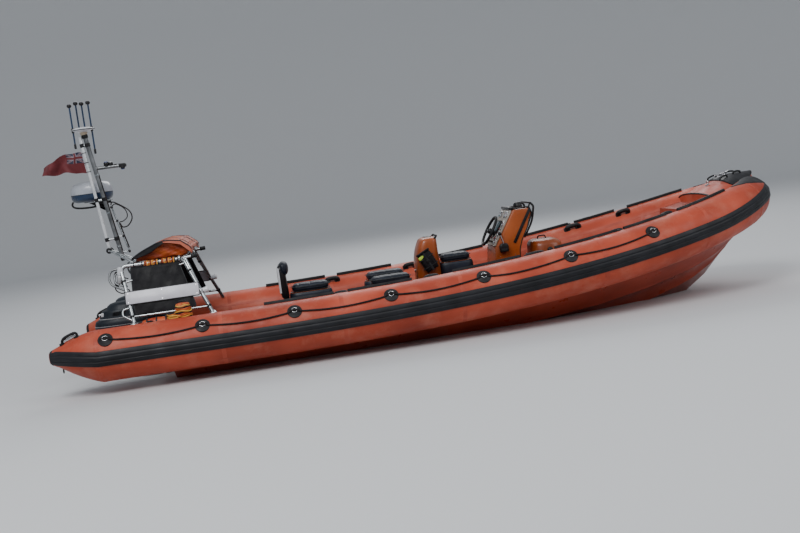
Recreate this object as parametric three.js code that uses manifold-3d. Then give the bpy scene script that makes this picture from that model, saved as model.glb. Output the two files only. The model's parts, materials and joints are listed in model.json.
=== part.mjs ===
// Inshore rescue boat: a deep-V hull in a buoyant collar, with twin tilting outboard engines,
// an astride helm, four seats and a gantry that carries a folding mast.
// Millimetres. +X is the bow, +Y is port, +Z is up; the origin is on the waterline amidships.
import * as THREE from "three";
import { mergeVertices } from "three/addons/utils/BufferGeometryUtils.js";
import Module from "manifold-3d";

const wasm = await Module();
wasm.setup();

// Driving dimensions
const gap = 0.3;
const collarRadius = 275;
const collarY = 1150;
const collarZ = 400;
const bowStart = 800;
const bowEnd = 3900;
const bowRadius = 215;
const bowLift = 35;
const sheerRise = 700;
const transomX = -3000;
const deckZ = 220;
const keelZ = -450;
const strakeHeight = 150;
const strakeThickness = 16;
const engineY = 330;
const tiltAxis = { x: -2965, z: 300 };
const steerX = -3130;
const trayZ = 345;
const cowlBaseZ = 375;
const cowlTopZ = 870;
const cowlWall = 12;
const propZ = -530;
const propRadius = 170;
const gantryTopZ = 1270;
const gantryTopY = 720;
const gantryFootY = 985;
const gantryFootZ = 635;
const frameTube = 19;
const mastTube = 25;
const knuckle = { x: -3615, z: 1435 };
const mastFoot = { x: -3480, z: 1310 };
const mastHead = { x: -3700, z: 2790 };
const wheelCentre = { x: 760, z: 1045 };
const wheelRadius = 175;
const wheelTilt = THREE.MathUtils.degToRad(32);
const panelThickness = 24;

const colours = {
  orange: { color: 0xcc5c38, roughness: 0.75, metalness: 0 },
  ochre: { color: 0xb3611f, roughness: 0.45, metalness: 0 },
  black: { color: 0x191b1e, roughness: 0.7, metalness: 0 },
  engine: { color: 0x1b2430, roughness: 0.3, metalness: 0.1 },
  metal: { color: 0xaeb4ba, roughness: 0.35, metalness: 0.9 },
  deck: { color: 0x4a4d50, roughness: 0.9, metalness: 0 },
  seat: { color: 0x16202c, roughness: 0.6, metalness: 0 },
  white: { color: 0xd9dbe0, roughness: 0.4, metalness: 0 },
  red: { color: 0x9c1c24, roughness: 0.8, metalness: 0 },
  yellow: { color: 0xc9a02c, roughness: 0.8, metalness: 0 },
};

const boat = new THREE.Group();

// A closed geometry as a solid, turned right side out.
function solid(geometry) {
  const bare = geometry.index ? geometry.toNonIndexed() : geometry.clone();
  bare.deleteAttribute("normal");
  bare.deleteAttribute("uv");
  const merged = mergeVertices(bare, 1e-3);
  const index = merged.index.array;
  const place = merged.attributes.position.array;
  const kept = [];
  let volume = 0;
  for (let i = 0; i < index.length; i += 3) {
    const [a, b, c] = [index[i], index[i + 1], index[i + 2]];
    if (a === b || b === c || c === a) continue;
    kept.push(a, b, c);
    const [p, q, r] = [a, b, c].map((n) => new THREE.Vector3().fromArray(place, 3 * n));
    volume += p.dot(q.cross(r));
  }
  if (volume < 0) kept.reverse();
  const triVerts = new Uint32Array(kept);
  return new wasm.Manifold(new wasm.Mesh({ numProp: 3, vertProperties: place, triVerts }));
}

function asSolid(piece) {
  return piece.isBufferGeometry ? solid(piece) : piece;
}

function join(...pieces) {
  return pieces.map(asSolid).reduce((whole, piece) => whole.add(piece));
}

function cut(body, ...tools) {
  return tools.map(asSolid).reduce((whole, tool) => whole.subtract(tool), asSolid(body));
}

function toGeometry(piece) {
  const mesh = asSolid(piece).getMesh();
  const geometry = new THREE.BufferGeometry();
  geometry.setAttribute("position", new THREE.BufferAttribute(mesh.vertProperties, 3));
  geometry.setIndex(new THREE.BufferAttribute(mesh.triVerts, 1));
  geometry.computeVertexNormals();
  return geometry;
}

function addNode(name, piece, finish) {
  const mesh = new THREE.Mesh(toGeometry(piece), new THREE.MeshStandardMaterial(finish));
  mesh.name = name;
  boat.add(mesh);
}

// The same node on both sides: side is -1 for starboard and 1 for port.
function addPair(name, make, finish) {
  for (const [word, side] of [["starboard", -1], ["port", 1]]) {
    addNode(`${name}_${word}`, make(side), finish);
  }
}

// Rings of equal length joined side by side and closed at both ends.
function loft(rings) {
  const count = rings[0].length;
  const points = rings.flat().flatMap((p) => [p.x, p.y, p.z]);
  const faces = [];
  for (let i = 0; i + 1 < rings.length; i++) {
    for (let j = 0; j < count; j++) {
      const a = i * count + j;
      const b = i * count + ((j + 1) % count);
      faces.push(a, b, b + count, a, b + count, a + count);
    }
  }
  for (const end of [0, rings.length - 1]) {
    const hub = points.length / 3;
    const centre = rings[end].reduce((sum, p) => sum.add(p), new THREE.Vector3());
    points.push(...centre.divideScalar(count).toArray());
    for (let j = 0; j < count; j++) {
      const edge = [end * count + j, end * count + ((j + 1) % count)];
      faces.push(hub, ...(end === 0 ? edge.reverse() : edge));
    }
  }
  const geometry = new THREE.BufferGeometry();
  geometry.setAttribute("position", new THREE.Float32BufferAttribute(points, 3));
  geometry.setIndex(faces);
  return geometry;
}

// A block from its lowest to its highest corner.
function block(x0, x1, y0, y1, z0, z1) {
  const geometry = new THREE.BoxGeometry(x1 - x0, Math.abs(y1 - y0), z1 - z0);
  return geometry.translate((x0 + x1) / 2, (y0 + y1) / 2, (z0 + z1) / 2);
}

// A round bar between two points.
function bar(from, to, radius, sides = 8, radiusTo = radius) {
  const a = new THREE.Vector3(...from);
  const b = new THREE.Vector3(...to);
  const run = b.clone().sub(a);
  const geometry = new THREE.CylinderGeometry(radiusTo, radius, run.length(), sides);
  const turn = new THREE.Quaternion();
  turn.setFromUnitVectors(new THREE.Vector3(0, 1, 0), run.clone().normalize());
  geometry.applyQuaternion(turn);
  return geometry.translate(...a.add(b).multiplyScalar(0.5).toArray());
}

// Bars from point to point with a ball at each inner corner.
function frame(points, radius, sides = 8) {
  const parts = [];
  for (let i = 0; i + 1 < points.length; i++) parts.push(bar(points[i], points[i + 1], radius, sides));
  for (const corner of points.slice(1, -1)) {
    parts.push(new THREE.SphereGeometry(radius * 1.02, sides, 6).translate(...corner));
  }
  return join(...parts);
}

// A round cord through points, its section carried along without twist.
function cordAlong(points, radius, sides) {
  const runAt = (i) => {
    const ahead = points[Math.min(i + 1, points.length - 1)].clone();
    return ahead.sub(points[Math.max(i - 1, 0)]).normalize();
  };
  const first = runAt(0);
  const across = new THREE.Vector3(0, 1, 0).cross(first).normalize();
  let last = first;
  const rings = points.map((point, i) => {
    const run = runAt(i);
    across.applyQuaternion(new THREE.Quaternion().setFromUnitVectors(last, run)).normalize();
    last = run;
    const rise = run.clone().cross(across);
    return Array.from({ length: sides }, (_, j) => {
      const angle = (2 * Math.PI * j) / sides;
      const offset = across.clone().multiplyScalar(radius * Math.cos(angle));
      return offset.addScaledVector(rise, radius * Math.sin(angle)).add(point);
    });
  });
  return loft(rings);
}

// A cord on a smooth curve through a few hand-placed points.
function cordThrough(places, radius, steps, sides = 8) {
  const curve = new THREE.CatmullRomCurve3(places.map((place) => new THREE.Vector3(...place)));
  return cordAlong(curve.getSpacedPoints(steps), radius, sides);
}

// A side outline of [x, z] points, extruded across the boat from y0 to y1.
function across(outline, y0, y1) {
  const shape = new THREE.Shape(outline.map(([x, z]) => new THREE.Vector2(x, z)));
  const geometry = new THREE.ExtrudeGeometry(shape, { depth: y1 - y0, bevelEnabled: false });
  geometry.rotateX(Math.PI / 2);
  return geometry.translate(0, y1, 0);
}

// A plan outline of [x, y] points, extruded up from z0 to z1.
function upright(outline, z0, z1) {
  const shape = new THREE.Shape(outline.map(([x, y]) => new THREE.Vector2(x, y)));
  const geometry = new THREE.ExtrudeGeometry(shape, { depth: z1 - z0, bevelEnabled: false });
  return geometry.translate(0, 0, z0);
}

// A rounded ring in plan, squarer as power rises.
function roundRing(x, y, z, halfLength, halfWidth, power = 3, count = 16) {
  const ring = [];
  for (let j = 0; j < count; j++) {
    const angle = (2 * Math.PI * (j + 0.5)) / count;
    const [c, s] = [Math.cos(angle), Math.sin(angle)];
    const bulge = (Math.abs(c) ** power + Math.abs(s) ** power) ** (-1 / power);
    ring.push(new THREE.Vector3(x + halfLength * c * bulge, y + halfWidth * s * bulge, z));
  }
  return ring;
}

// A rounded upright body from rows of height, centre x, half length and half width.
function pod(y, rows, power = 3, count = 16) {
  return loft(rows.map(([z, x, length, width]) => roundRing(x, y, z, length, width, power, count)));
}

// Height of the collar's centreline along the boat: level aft, sweeping up to the bow.
function collarHeight(x) {
  return collarZ + sheerRise * Math.max(0, (x + 3000) / 7220) ** 2.9;
}

// Half breadth of the collar's centreline along the boat.
function collarBreadth(x) {
  if (x <= bowStart) return collarY;
  const along = Math.min(1, (x - bowStart) / (bowEnd - bowStart));
  return collarY * (1 - along ** 2.27) ** (1 / 2.27);
}

// Stations of the collar from the tip of the stern cone to the bow: plan place, height and radius.
// The two halves stop just short of the centreline; past it, they overlap and cut as one.
function collarStations(past = -gap / 2) {
  // Stern cone: place, radius and how far its axis is lifted.
  const cone = [[-4215, 60, 50], [-4195, 76, 50], [-4120, 112, 46], [-3960, 194, 30], [-3800, 254, 12],
    [-3700, collarRadius, 0]];
  const stations = cone.map(([x, radius, lift]) => ({ x, y: collarY, radius, lift }));
  for (const x of [-2500, -1400, -300]) stations.push({ x, y: collarY, radius: collarRadius });
  const steps = 11;
  for (let k = 0; k <= steps; k++) {
    const angle = (k / steps) * (Math.PI / 2);
    const x = bowStart + (bowEnd - bowStart) * Math.sin(angle) ** 0.88;
    const y = k === steps ? -past : collarY * Math.cos(angle) ** 0.88;
    const share = (k / steps) ** 3;
    const radius = THREE.MathUtils.lerp(collarRadius, bowRadius, share);
    stations.push({ x, y, radius, lift: bowLift * share });
  }
  return stations.map(({ lift = 0, ...s }) => ({ ...s, z: collarHeight(s.x) + lift }));
}

// The outward direction in plan at each station, square to the collar's run.
function outwardAt(stations, i) {
  const before = stations[Math.max(0, i - 1)];
  const after = stations[Math.min(stations.length - 1, i + 1)];
  if (i === stations.length - 1) return new THREE.Vector3(1, 0, 0);
  return new THREE.Vector3(-(after.y - before.y), after.x - before.x, 0).normalize();
}

// A point of the collar's skin: angle 0 is outboard and a quarter turn is up.
function collarPoint(stations, i, angle, radius, side) {
  const { x, y, z } = stations[i];
  const out = outwardAt(stations, i).multiplyScalar(radius * Math.cos(angle));
  return new THREE.Vector3(x + out.x, side * (y + out.y), z + radius * Math.sin(angle));
}

function collarTube(side, extra = 0, sides = 24) {
  const stations = extra > 0 ? collarStations(2) : collarStations();
  return loft(
    stations.map((station, i) =>
      Array.from({ length: sides }, (_, j) =>
        collarPoint(stations, i, (2 * Math.PI * j) / sides, station.radius + extra, side),
      ),
    ),
  );
}

// The rubbing strake lies on the collar's equator from the cone's tip, and climbs at the bow.
function strake(side) {
  const stations = collarStations();
  const half = strakeHeight / 2 / collarRadius;
  const section = [[-half, -12], [half, -12], [half, 9], [0, strakeThickness], [-half, 9]];
  const rings = stations.slice(1).map(({ x, radius }, i) => {
    const spread = collarRadius / Math.max(radius, 120);
    const climb = 0.4 * Math.max(0, (x - 3000) / (bowEnd - 3000)) ** 2;
    return section.map(([angle, lift]) => {
      return collarPoint(stations, i + 1, climb + angle * spread, radius + lift, side);
    });
  });
  return cut(loft(rings), collarTube(side, gap));
}

// Places on the straight and curved collar where a grab disc sits.
const discStations = [-3598, -2601, -1640, -613, 391, 1348, 2280];

// A point on the skin at any x, worked from the two nearest stations.
function skinPoint(x, angle, radius, side) {
  const ahead = 5;
  const run = new THREE.Vector3(2 * ahead, collarBreadth(x + ahead) - collarBreadth(x - ahead), 0);
  const out = new THREE.Vector3(-run.y, run.x, 0).normalize().multiplyScalar(radius * Math.cos(angle));
  const y = side * (collarBreadth(x) + out.y);
  return new THREE.Vector3(x + out.x, y, collarHeight(x) + radius * Math.sin(angle));
}

// Grab discs joined by the lifeline that runs through them.
function grabLine(side) {
  const angle = THREE.MathUtils.degToRad(42);
  const skin = collarTube(side, gap);
  const discs = [];
  const route = [];
  for (const [k, x] of discStations.entries()) {
    const inner = skinPoint(x, angle, collarRadius - 16, side).toArray();
    const outer = skinPoint(x, angle, collarRadius + 17, side).toArray();
    discs.push(cut(bar(inner, outer, 78, 12), skin));
    route.push(skinPoint(x, angle, collarRadius + 20, side));
    if (k + 1 === discStations.length) continue;
    for (const share of [0.2, 0.5, 0.8]) {
      const between = THREE.MathUtils.lerp(x, discStations[k + 1], share);
      const droop = 0.16 * Math.sin(Math.PI * share);
      route.push(skinPoint(between, angle - droop, collarRadius + 12, side));
    }
  }
  return join(...discs, cordAlong(route, 9, 6));
}

// Stations of the hull: place along the boat and keel height.
const hullStations = [
  [-3000, -430], [-1500, keelZ], [0, keelZ], [1050, -435], [1800, -360],
  [2400, -245], [2900, -70], [3060, 0], [3310, 170], [3520, 380], [3700, 600], [3860, 840],
];
const bulkheadX = 3060;

// Depth of the bow pad's underside below its crown line, where the fore deck meets it.
const padCrown = collarRadius - 30;
const padDepth = 80;

// The deck is level aft, climbs with the sheer and steps up to the fore deck at the bulkhead.
function deckHeight(x) {
  if (x >= bulkheadX) return collarHeight(x) + padCrown - padDepth - gap;
  return deckZ + 0.9 * Math.max(0, collarHeight(x) - 640);
}

// The chine lies just under the collar.
function chineAt(x, keel) {
  return { y: Math.max(40, collarBreadth(x) - 170), z: Math.max(collarHeight(x) - 300, keel + 12) };
}

// Half width of the deck: up to the collar, or to where the rising bottom leaves a wall of 60 mm.
function deckEdge(x, keel) {
  const chine = chineAt(x, keel);
  const share = (deckHeight(x) - 60 - keel) / (chine.z - keel);
  return Math.max(45, Math.min(collarBreadth(x) - 130, share * chine.y));
}

// One section: keel, two spray rails and the chine, then a shoulder inside the collar and the deck.
function hullRing([x, keel]) {
  const chine = chineAt(x, keel);
  const height = (y) => THREE.MathUtils.mapLinear(y, 0, chine.y, keel, chine.z);
  const half = [];
  for (const share of [0.34, 0.66]) {
    const inner = share * chine.y;
    const outer = inner + 0.05 * chine.y;
    half.push([inner, height(inner)], [outer, height(inner)], [outer + 2, height(outer + 2)]);
  }
  half.push([chine.y, chine.z]);
  half.push([Math.max(50, collarBreadth(x) - 60), Math.max(collarHeight(x) - 200, chine.z + 10)]);
  half.push([deckEdge(x, keel), deckHeight(x)]);
  const ring = [new THREE.Vector3(x, 0, keel)];
  for (const [y, z] of half) ring.push(new THREE.Vector3(x, y, z));
  for (const [y, z] of half.reverse()) ring.push(new THREE.Vector3(x, -y, z));
  return ring;
}

function hull() {
  return cut(loft(hullStations.map(hullRing)), collarTube(-1, 0.4), collarTube(1, 0.4));
}

const deckTop = deckZ + 12;
const padThickness = 4;

// The tread plate with two raised stowage pads: ahead of the locker and ahead of the engines.
function cockpitDeck() {
  const inset = 25;
  const bow = 1795;
  const edges = hullStations.filter(([x]) => x > transomX && x < bow);
  const side = edges.map(([x, keel]) => [x, deckEdge(x, keel) - inset]);
  side.unshift([-2850, side[0][1]]);
  const beyond = hullStations.find(([x]) => x > bow);
  side.push([bow, deckEdge(...beyond) - inset]);
  const outline = [...side.map(([x, y]) => [x, -y]), ...side.reverse()];
  const pads = [[-2500, -1900], [1630, 1785]].map(([x0, x1]) => {
    return block(x0, x1, -300, 300, deckTop - 2, deckTop + padThickness);
  });
  const plate = cut(upright(outline, deckZ + gap, deckTop), collarTube(-1, 3), collarTube(1, 3));
  return join(plate, ...pads);
}

// The black pad over the bow, seated on both collars: place, half width and rise of its crown.
function bowPad() {
  const rows = [[3310, 620, 0], [3500, 530, 50], [3690, 410, 64], [3860, 270, 30], [3970, 130, 0]];
  const section = [[-1, -60, 0], [-0.8, -12, 0.4], [-0.45, 14, 0.9], [0, 22, 1], [0.45, 14, 0.9],
    [0.8, -12, 0.4], [1, -60, 0], [0, -padDepth, 0]];
  const rings = rows.map(([x, half, rise]) => {
    const crown = collarHeight(x) + padCrown;
    return section.map(([share, lift, part]) => {
      return new THREE.Vector3(x, share * half, crown + lift + part * rise);
    });
  });
  return cut(loft(rings), collarTube(-1, 0.5), collarTube(1, 0.5));
}

const seatFloor = deckTop + gap;

// The astride helm: console with a dash that leans square to the steering shaft, set on the deck.
const dashLow = { x: 755, z: 850 };
const dashTop = { x: dashLow.x + 420 * Math.tan(wheelTilt), z: dashLow.z + 420 };

function helmConsole() {
  return across([
    [740, seatFloor], [740, 700], [dashLow.x, dashLow.z], [dashTop.x, dashTop.z],
    [1210, dashTop.z], [1226, 1200], [1160, 1065], [1066, 905], [1030, 800], [1020, seatFloor],
  ], -270, 270);
}

function instrumentPanel() {
  const lean = Math.atan2(dashTop.x - dashLow.x, dashTop.z - dashLow.z);
  const length = Math.hypot(dashTop.x - dashLow.x, dashTop.z - dashLow.z);
  const panel = new THREE.BoxGeometry(panelThickness, 500, length - 40);
  panel.translate(-panelThickness / 2 - gap, 0, 0).rotateY(lean);
  return panel.translate((dashLow.x + dashTop.x) / 2, 0, (dashLow.z + dashTop.z) / 2);
}

function steeringWheel() {
  const ring = new THREE.TorusGeometry(wheelRadius, 14, 8, 24);
  const spokes = [0, 1, 2].map((k) => {
    const angle = Math.PI / 2 + (k * 2 * Math.PI) / 3;
    return bar([0, 0, 22], [wheelRadius * Math.cos(angle), wheelRadius * Math.sin(angle), 0], 9, 6);
  });
  const hub = bar([0, 0, -20], [0, 0, 60], 34, 12);
  const shaft = bar([0, 0, 55], [0, 0, wheelShaftEnd()], 16, 8);
  const wheel = toGeometry(join(ring, ...spokes, hub, shaft));
  wheel.rotateZ(Math.PI / 2).rotateY(Math.PI / 2 + wheelTilt);
  return wheel.translate(wheelCentre.x, 0, wheelCentre.z);
}

// Length of the steering shaft from the wheel's centre to the face of the instrument panel.
function wheelShaftEnd() {
  const lean = Math.atan2(dashTop.x - dashLow.x, dashTop.z - dashLow.z);
  const normal = new THREE.Vector3(-Math.cos(lean), 0, Math.sin(lean));
  const shaft = new THREE.Vector3(Math.cos(wheelTilt), 0, -Math.sin(wheelTilt));
  const toDash = new THREE.Vector3(dashLow.x - wheelCentre.x, 0, dashLow.z - wheelCentre.z);
  const distance = toDash.dot(normal) / shaft.dot(normal);
  const slack = panelThickness + 2 * gap + 0.1;
  return distance - slack / Math.abs(shaft.dot(normal));
}

// The black grab rail round the forward edge of the console, cut square to the face it stands on.
function consoleRail() {
  const y = 240;
  const route = [[1125, 935], [1232, 1110], [1268, 1280], [1230, 1322]];
  const [low, , , high] = route;
  const fittings = [-y, y].flatMap((py) => [
    bar([low[0] - 60, py, low[1] + 18], [low[0], py, low[1]], 9, 6),
    bar([high[0] - 34, py, 1250], [high[0] - 4, py, high[1]], 9, 6),
  ]);
  const sides = [-y, y].map((py) => route.map(([x, z]) => new THREE.Vector3(x, py, z)));
  const rail = cordAlong([...sides[0], ...sides[1].reverse()], 12, 8);
  return cut(join(rail, ...fittings), helmConsole().translate(1.5 * gap, 0, gap));
}

// Two throttle levers on a box at the starboard side of the console.
function throttleControls() {
  const side = -270 - gap;
  const box = block(800, 900, side - 62, side, 800, 900);
  const levers = [-18, -44].map((offset) => {
    const y = side + offset;
    return join(bar([850, y, 895], [822, y, 1010], 8, 6),
      new THREE.SphereGeometry(17, 8, 6).translate(820, y, 1016));
  });
  return join(box, ...levers);
}

// The compass in its hood, on top of the console.
function compass() {
  const x = dashTop.x + 118;
  const z = dashTop.z + gap;
  const rows = [[z, x, 44, 60], [z + 24, x, 50, 64], [z + 54, x - 4, 44, 56], [z + 70, x - 6, 26, 34]];
  return pod(0, rows, 2.4, 14);
}

// Straddle seats: a moulded base and a padded top.
const seatPlaces = [
  ["helm_seat", 0, 110, 500, 160, 760],
  ["crew_seat_starboard", -340, -760, -260, 150, 640],
  ["crew_seat_port", 340, -760, -260, 150, 640],
  ["aft_seat", 0, -1660, -1180, 160, 660],
];

function seatBase(y, x0, x1, half, top) {
  const [centre, length] = [(x0 + x1) / 2, (x1 - x0) / 2];
  const rows = [[seatFloor, 0.85], [450, 1], [top, 0.8]];
  return pod(y, rows.map(([z, share]) => [z, centre, length, share * half]), 4, 12);
}

function seatCushion(y, x0, x1, half, top) {
  const [centre, length] = [(x0 + x1) / 2, (x1 - x0) / 2 - 10];
  const low = top + gap;
  return pod(
    y,
    [[low, centre, length - 15, half * 0.85], [low + 35, centre, length, half],
      [low + 75, centre, length - 12, half * 0.9], [low + 95, centre, length - 60, half * 0.6]],
    4, 12,
  );
}

function crewPod() {
  const centre = -30;
  const rows = [[seatFloor, 130, 200], [600, 135, 210], [940, 140, 205], [1045, 125, 180], [1078, 90, 140]];
  return pod(0, rows.map(([z, length, width]) => [z, centre, length, width]), 4, 16);
}

function podPouch() {
  return pod(-246, [[690, -60, 85, 30], [760, -60, 95, 38], [900, -60, 92, 36], [950, -60, 80, 26]], 4, 12);
}

function aftBackrest() {
  const post = frame([[-1690, 0, seatFloor], [-1700, 0, 930]], 20, 8);
  const rows = [[880, 45, 150], [930, 60, 175], [1000, 58, 170], [1030, 35, 140]];
  return join(post, pod(0, rows.map(([z, length, width]) => [z, -1700, length, width]), 3, 12));
}

function bowLocker() {
  return pod(0, [
    [seatFloor, 1400, 200, 260], [600, 1400, 205, 260], [800, 1390, 190, 230], [870, 1370, 140, 170],
  ], 3, 16);
}

// The gantry: a braced frame on each collar, with bars across.
function gantryY(z) {
  return THREE.MathUtils.mapLinear(z, gantryFootZ, gantryTopZ, gantryFootY, gantryTopY);
}

const footX = { aft: -3330, front: -2490 };

function gantrySide(side) {
  const at = (x, z) => [x, side * gantryY(z), z];
  const foot = (x) => {
    const base = skinPoint(x, Math.acos((gantryFootY - collarY) / collarRadius), collarRadius - 16, side);
    return bar(base.toArray(), at(x, gantryFootZ + 12), 55, 10);
  };
  const hoop = frame(
    [at(footX.aft, gantryFootZ), at(-3420, gantryTopZ - 40), at(-3390, gantryTopZ),
      at(-2780, gantryTopZ), at(-2740, gantryTopZ - 30), at(footX.front, gantryFootZ)],
    frameTube, 8,
  );
  const second = bar(at(-2760, gantryTopZ - 4), at(-2600, 900), 16, 8);
  const lower = bar(at(-3350, 735), at(-2540, 735), 14, 6);
  const hand = frame([at(-3360, 830), at(-3440, 820), at(-3450, 760), at(-3355, 700)], 12, 6);
  const loop = [[-3405, 1255], [-3530, 1245], [-3560, 1170], [-3535, 1090], [-3385, 1010]];
  const upper = frame(loop.map(([x, z]) => at(x, z)), 12, 6);
  const feet = [footX.aft, footX.front].map((x) => cut(foot(x), collarTube(side, gap)));
  const clamp = bar(at(-2592, 912), at(-2592, 880), 30, 10);
  const lamp = bar(at(-2590, 905), at(-2520, 912), 26, 12);
  return join(hoop, second, lower, hand, upper, ...feet, clamp, lamp);
}

function gantryBar(x, z, radius) {
  const y = gantryY(z) - frameTube - 1.2;
  return bar([x, -y, z], [x, y, z], radius, 8);
}

// The rear crossbar carries the fixed half of the mast's hinge.
function gantryRearBar() {
  const barX = -3330;
  const z = gantryTopZ - 2;
  const strutEnd = [knuckle.x + 38, 0, knuckle.z - 18];
  const struts = [-60, 60].map((y) => bar([barX, y, z], [strutEnd[0], y, strutEnd[2]], 13, 6));
  const cheeks = [-60, 60].map((y) => {
    return join(bar([knuckle.x, y - 6, knuckle.z], [knuckle.x, y + 6, knuckle.z], 34, 12),
      block(knuckle.x, strutEnd[0] + 12, y - 6, y + 6, knuckle.z - 34, knuckle.z));
  });
  return join(gantryBar(barX, z, frameTube), ...struts, ...cheeks);
}

function rightingBag() {
  const z = gantryTopZ + frameTube + gap;
  const outline = [[-3300, z], [-3310, z + 40], [-3030, 1480], [-2960, 1498], [-2790, 1475],
    [-2680, 1380], [-2660, 1330], [-2740, z]];
  return across(outline, -560, 560);
}

// A slab parallel to the gantry's leaning side, standing off it by a distance outboard.
function sideSlab(side, x0, x1, z0, z1, offset, thickness, spread = 0) {
  const lean = Math.atan2(gantryFootY - gantryTopY, gantryTopZ - gantryFootZ);
  const corner = (x, z, out) => {
    const y = gantryY(z) + out * Math.cos(lean);
    return new THREE.Vector3(x, side * y, z + out * Math.sin(lean));
  };
  const ring = (x, low) => [corner(low, z0, offset), corner(x, z1, offset),
    corner(x, z1, offset + thickness), corner(low, z0, offset + thickness)];
  return loft([ring(x0, x0), ring(x1, x1 + spread)]);
}

function nameBoard(side) {
  return sideSlab(side, -3400, -2615, 868, 1000, frameTube + gap, 10);
}

function sideBag(side) {
  const lean = Math.atan2(gantryFootY - gantryTopY, gantryTopZ - gantryFootZ);
  const top = gantryTopZ - (frameTube * Math.cos(Math.PI / 8) + gap) * Math.cos(lean);
  return sideSlab(side, -3318, -2800, 752, top, -26, 45, 140);
}

function ropeBag(side) {
  const rows = [[620, 60, 45], [720, 85, 60], [800, 80, 55], [830, 50, 35]];
  const bag = pod(side * 1040, rows.map(([z, length, width]) => [z, -2800, length, width]), 3, 10);
  return cut(bag, collarTube(side, gap));
}

// A long bag that lies on the collar below the gantry's lower rail.
function stowageBag(side) {
  const rows = [[-3262, 30], [-3235, 50], [-3130, 60], [-2990, 56], [-2920, 30]];
  const rings = rows.map(([x, half]) => Array.from({ length: 12 }, (_, j) => {
    const angle = (2 * Math.PI * (j + 0.5)) / 12;
    return new THREE.Vector3(x, side * (1020 + 1.25 * half * Math.cos(angle)), 648 + half * Math.sin(angle));
  }));
  return cut(loft(rings), collarTube(side, gap));
}

// Engine parts. Each side's engine stands on its own centreline.
function clampBracket(side) {
  const y = side * engineY;
  const outline = [
    [-2890, deckZ + gap], [-2890, 245], [-2935, 290], [-2945, 325], [-2985, 325], [-3010, 290],
    [-3045, 200], [-3045, -60], [-3020, -110], [transomX - gap, -110], [transomX - gap, deckZ + gap],
  ];
  const plates = [-118, 100].map((inner) => across(outline, y + inner, y + inner + 18));
  const back = block(-3012, transomX - gap, y - 110, y + 110, -80, 200);
  const top = block(-2960, -2895, y - 110, y + 110, deckZ + gap, 234);
  return join(...plates, back, top);
}

function swivelBracket(side) {
  const y = side * engineY;
  const tube = bar([tiltAxis.x, y - 100 + gap, tiltAxis.z], [tiltAxis.x, y + 100 - gap, tiltAxis.z], 24, 16);
  const arm = block(steerX, tiltAxis.x, y - 55, y + 55, 262, 316);
  const post = bar([steerX, y, -140], [steerX, y, 320], 42, 16);
  const ram = bar([steerX + 70, y - 92, 300], [steerX + 70, y + 92, 300], 20, 10);
  return join(tube, arm, post, ram);
}

// A flat foil shape in plan, sharp aft, from its front to its back.
function foil(front, back, half) {
  const length = front - back;
  const rows = [[0, 0.25], [0.06, 0.7], [0.25, 1], [0.6, 0.85], [0.92, 0.35], [1, 0.1]];
  const upper = rows.map(([share, width]) => [front - share * length, width * half]);
  return [...upper, ...upper.map(([x, w]) => [x, -w]).reverse()];
}

function foilRing(front, back, half, y, z) {
  return foil(front, back, half).map(([x, py]) => new THREE.Vector3(x, y + py, z));
}

function engineLeg(side) {
  const y = side * engineY;
  const trayRows = [[trayZ, -3345, 350, 165], [cowlBaseZ - gap, -3345, 385, 205]];
  const tray = pod(y, trayRows, 4);
  const yokeTop = join(bar([steerX, y, 320 + gap], [steerX, y, trayZ + 5], 55, 12),
    block(-3300, steerX, y - 50, y + 50, 322, trayZ + 5));
  const yokeLow = join(bar([steerX, y, -175], [steerX, y, -140 - gap], 48, 12),
    block(-3250, steerX, y - 45, y + 45, -175, -140 - gap));
  const column = loft([
    foilRing(-3190, -3470, 85, y, trayZ + 5), foilRing(-3190, -3440, 70, y, 100),
    foilRing(-3190, -3410, 52, y, -330),
  ]);
  const plate = upright([[-3120, y - 60], [-3120, y + 60], [-3250, y + 105], [-3600, y + 105], [-3620, y],
    [-3600, y - 105], [-3250, y - 105]], -338, -326);
  const strut = loft([foilRing(-3180, -3440, 34, y, -330), foilRing(-3170, -3420, 30, y, propZ)]);
  const skeg = across([[-3210, propZ - 30], [-3420, propZ - 30], [-3400, -735], [-3330, -735]], y - 7, y + 7);
  const profile = [[0, 0], [30, 25], [48, 90], [52, 200], [50, 400], [0, 400]];
  const torpedo = new THREE.LatheGeometry(profile.map(([r, l]) => new THREE.Vector2(r, l)), 14);
  torpedo.rotateZ(Math.PI / 2).translate(-3050, y, propZ);
  return join(tray, yokeTop, yokeLow, column, plate, strut, skeg, torpedo);
}

// Rows of the cowl: height, centre x, half length and half width. Two steps part it from its lid.
const cowlRows = [
  [cowlBaseZ, -3365, 385, 205], [450, -3385, 425, 218], [620, -3385, 430, 222], [690, -3372, 405, 214],
  [704, -3364, 388, 204], [790, -3334, 342, 190], [804, -3324, 322, 180],
  [850, -3302, 276, 158], [cowlTopZ, -3290, 210, 116],
];

function cowl(side) {
  const y = side * engineY;
  const inside = cowlRows.map(([z, x, length, width], i) => {
    const lower = i === 0 ? 5 : i === cowlRows.length - 1 ? cowlWall : 0;
    return [z - lower, x, length - cowlWall, width - cowlWall];
  });
  return cut(pod(y, cowlRows, 3.2, 20), pod(y, inside, 3.2, 20));
}

function powerhead(side) {
  const y = side * engineY;
  return block(-3560, -3110, y - 130, y + 130, cowlBaseZ, 780);
}

function propeller(side) {
  const y = side * engineY;
  const start = -3450 - gap;
  const hub = bar([start, y, propZ], [start - 150, y, propZ], 48, 14, 36);
  const blades = [0, 1, 2].map((k) => {
    const blade = new THREE.CylinderGeometry(1, 1, 9, 14).scale(62, 1, 74);
    blade.translate(0, 0, propRadius - 74).rotateZ(Math.PI / 2 - 0.62);
    blade.rotateX((k * 2 * Math.PI) / 3);
    return blade.translate(start - 75, y, propZ);
  });
  return join(hub, ...blades);
}

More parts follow.
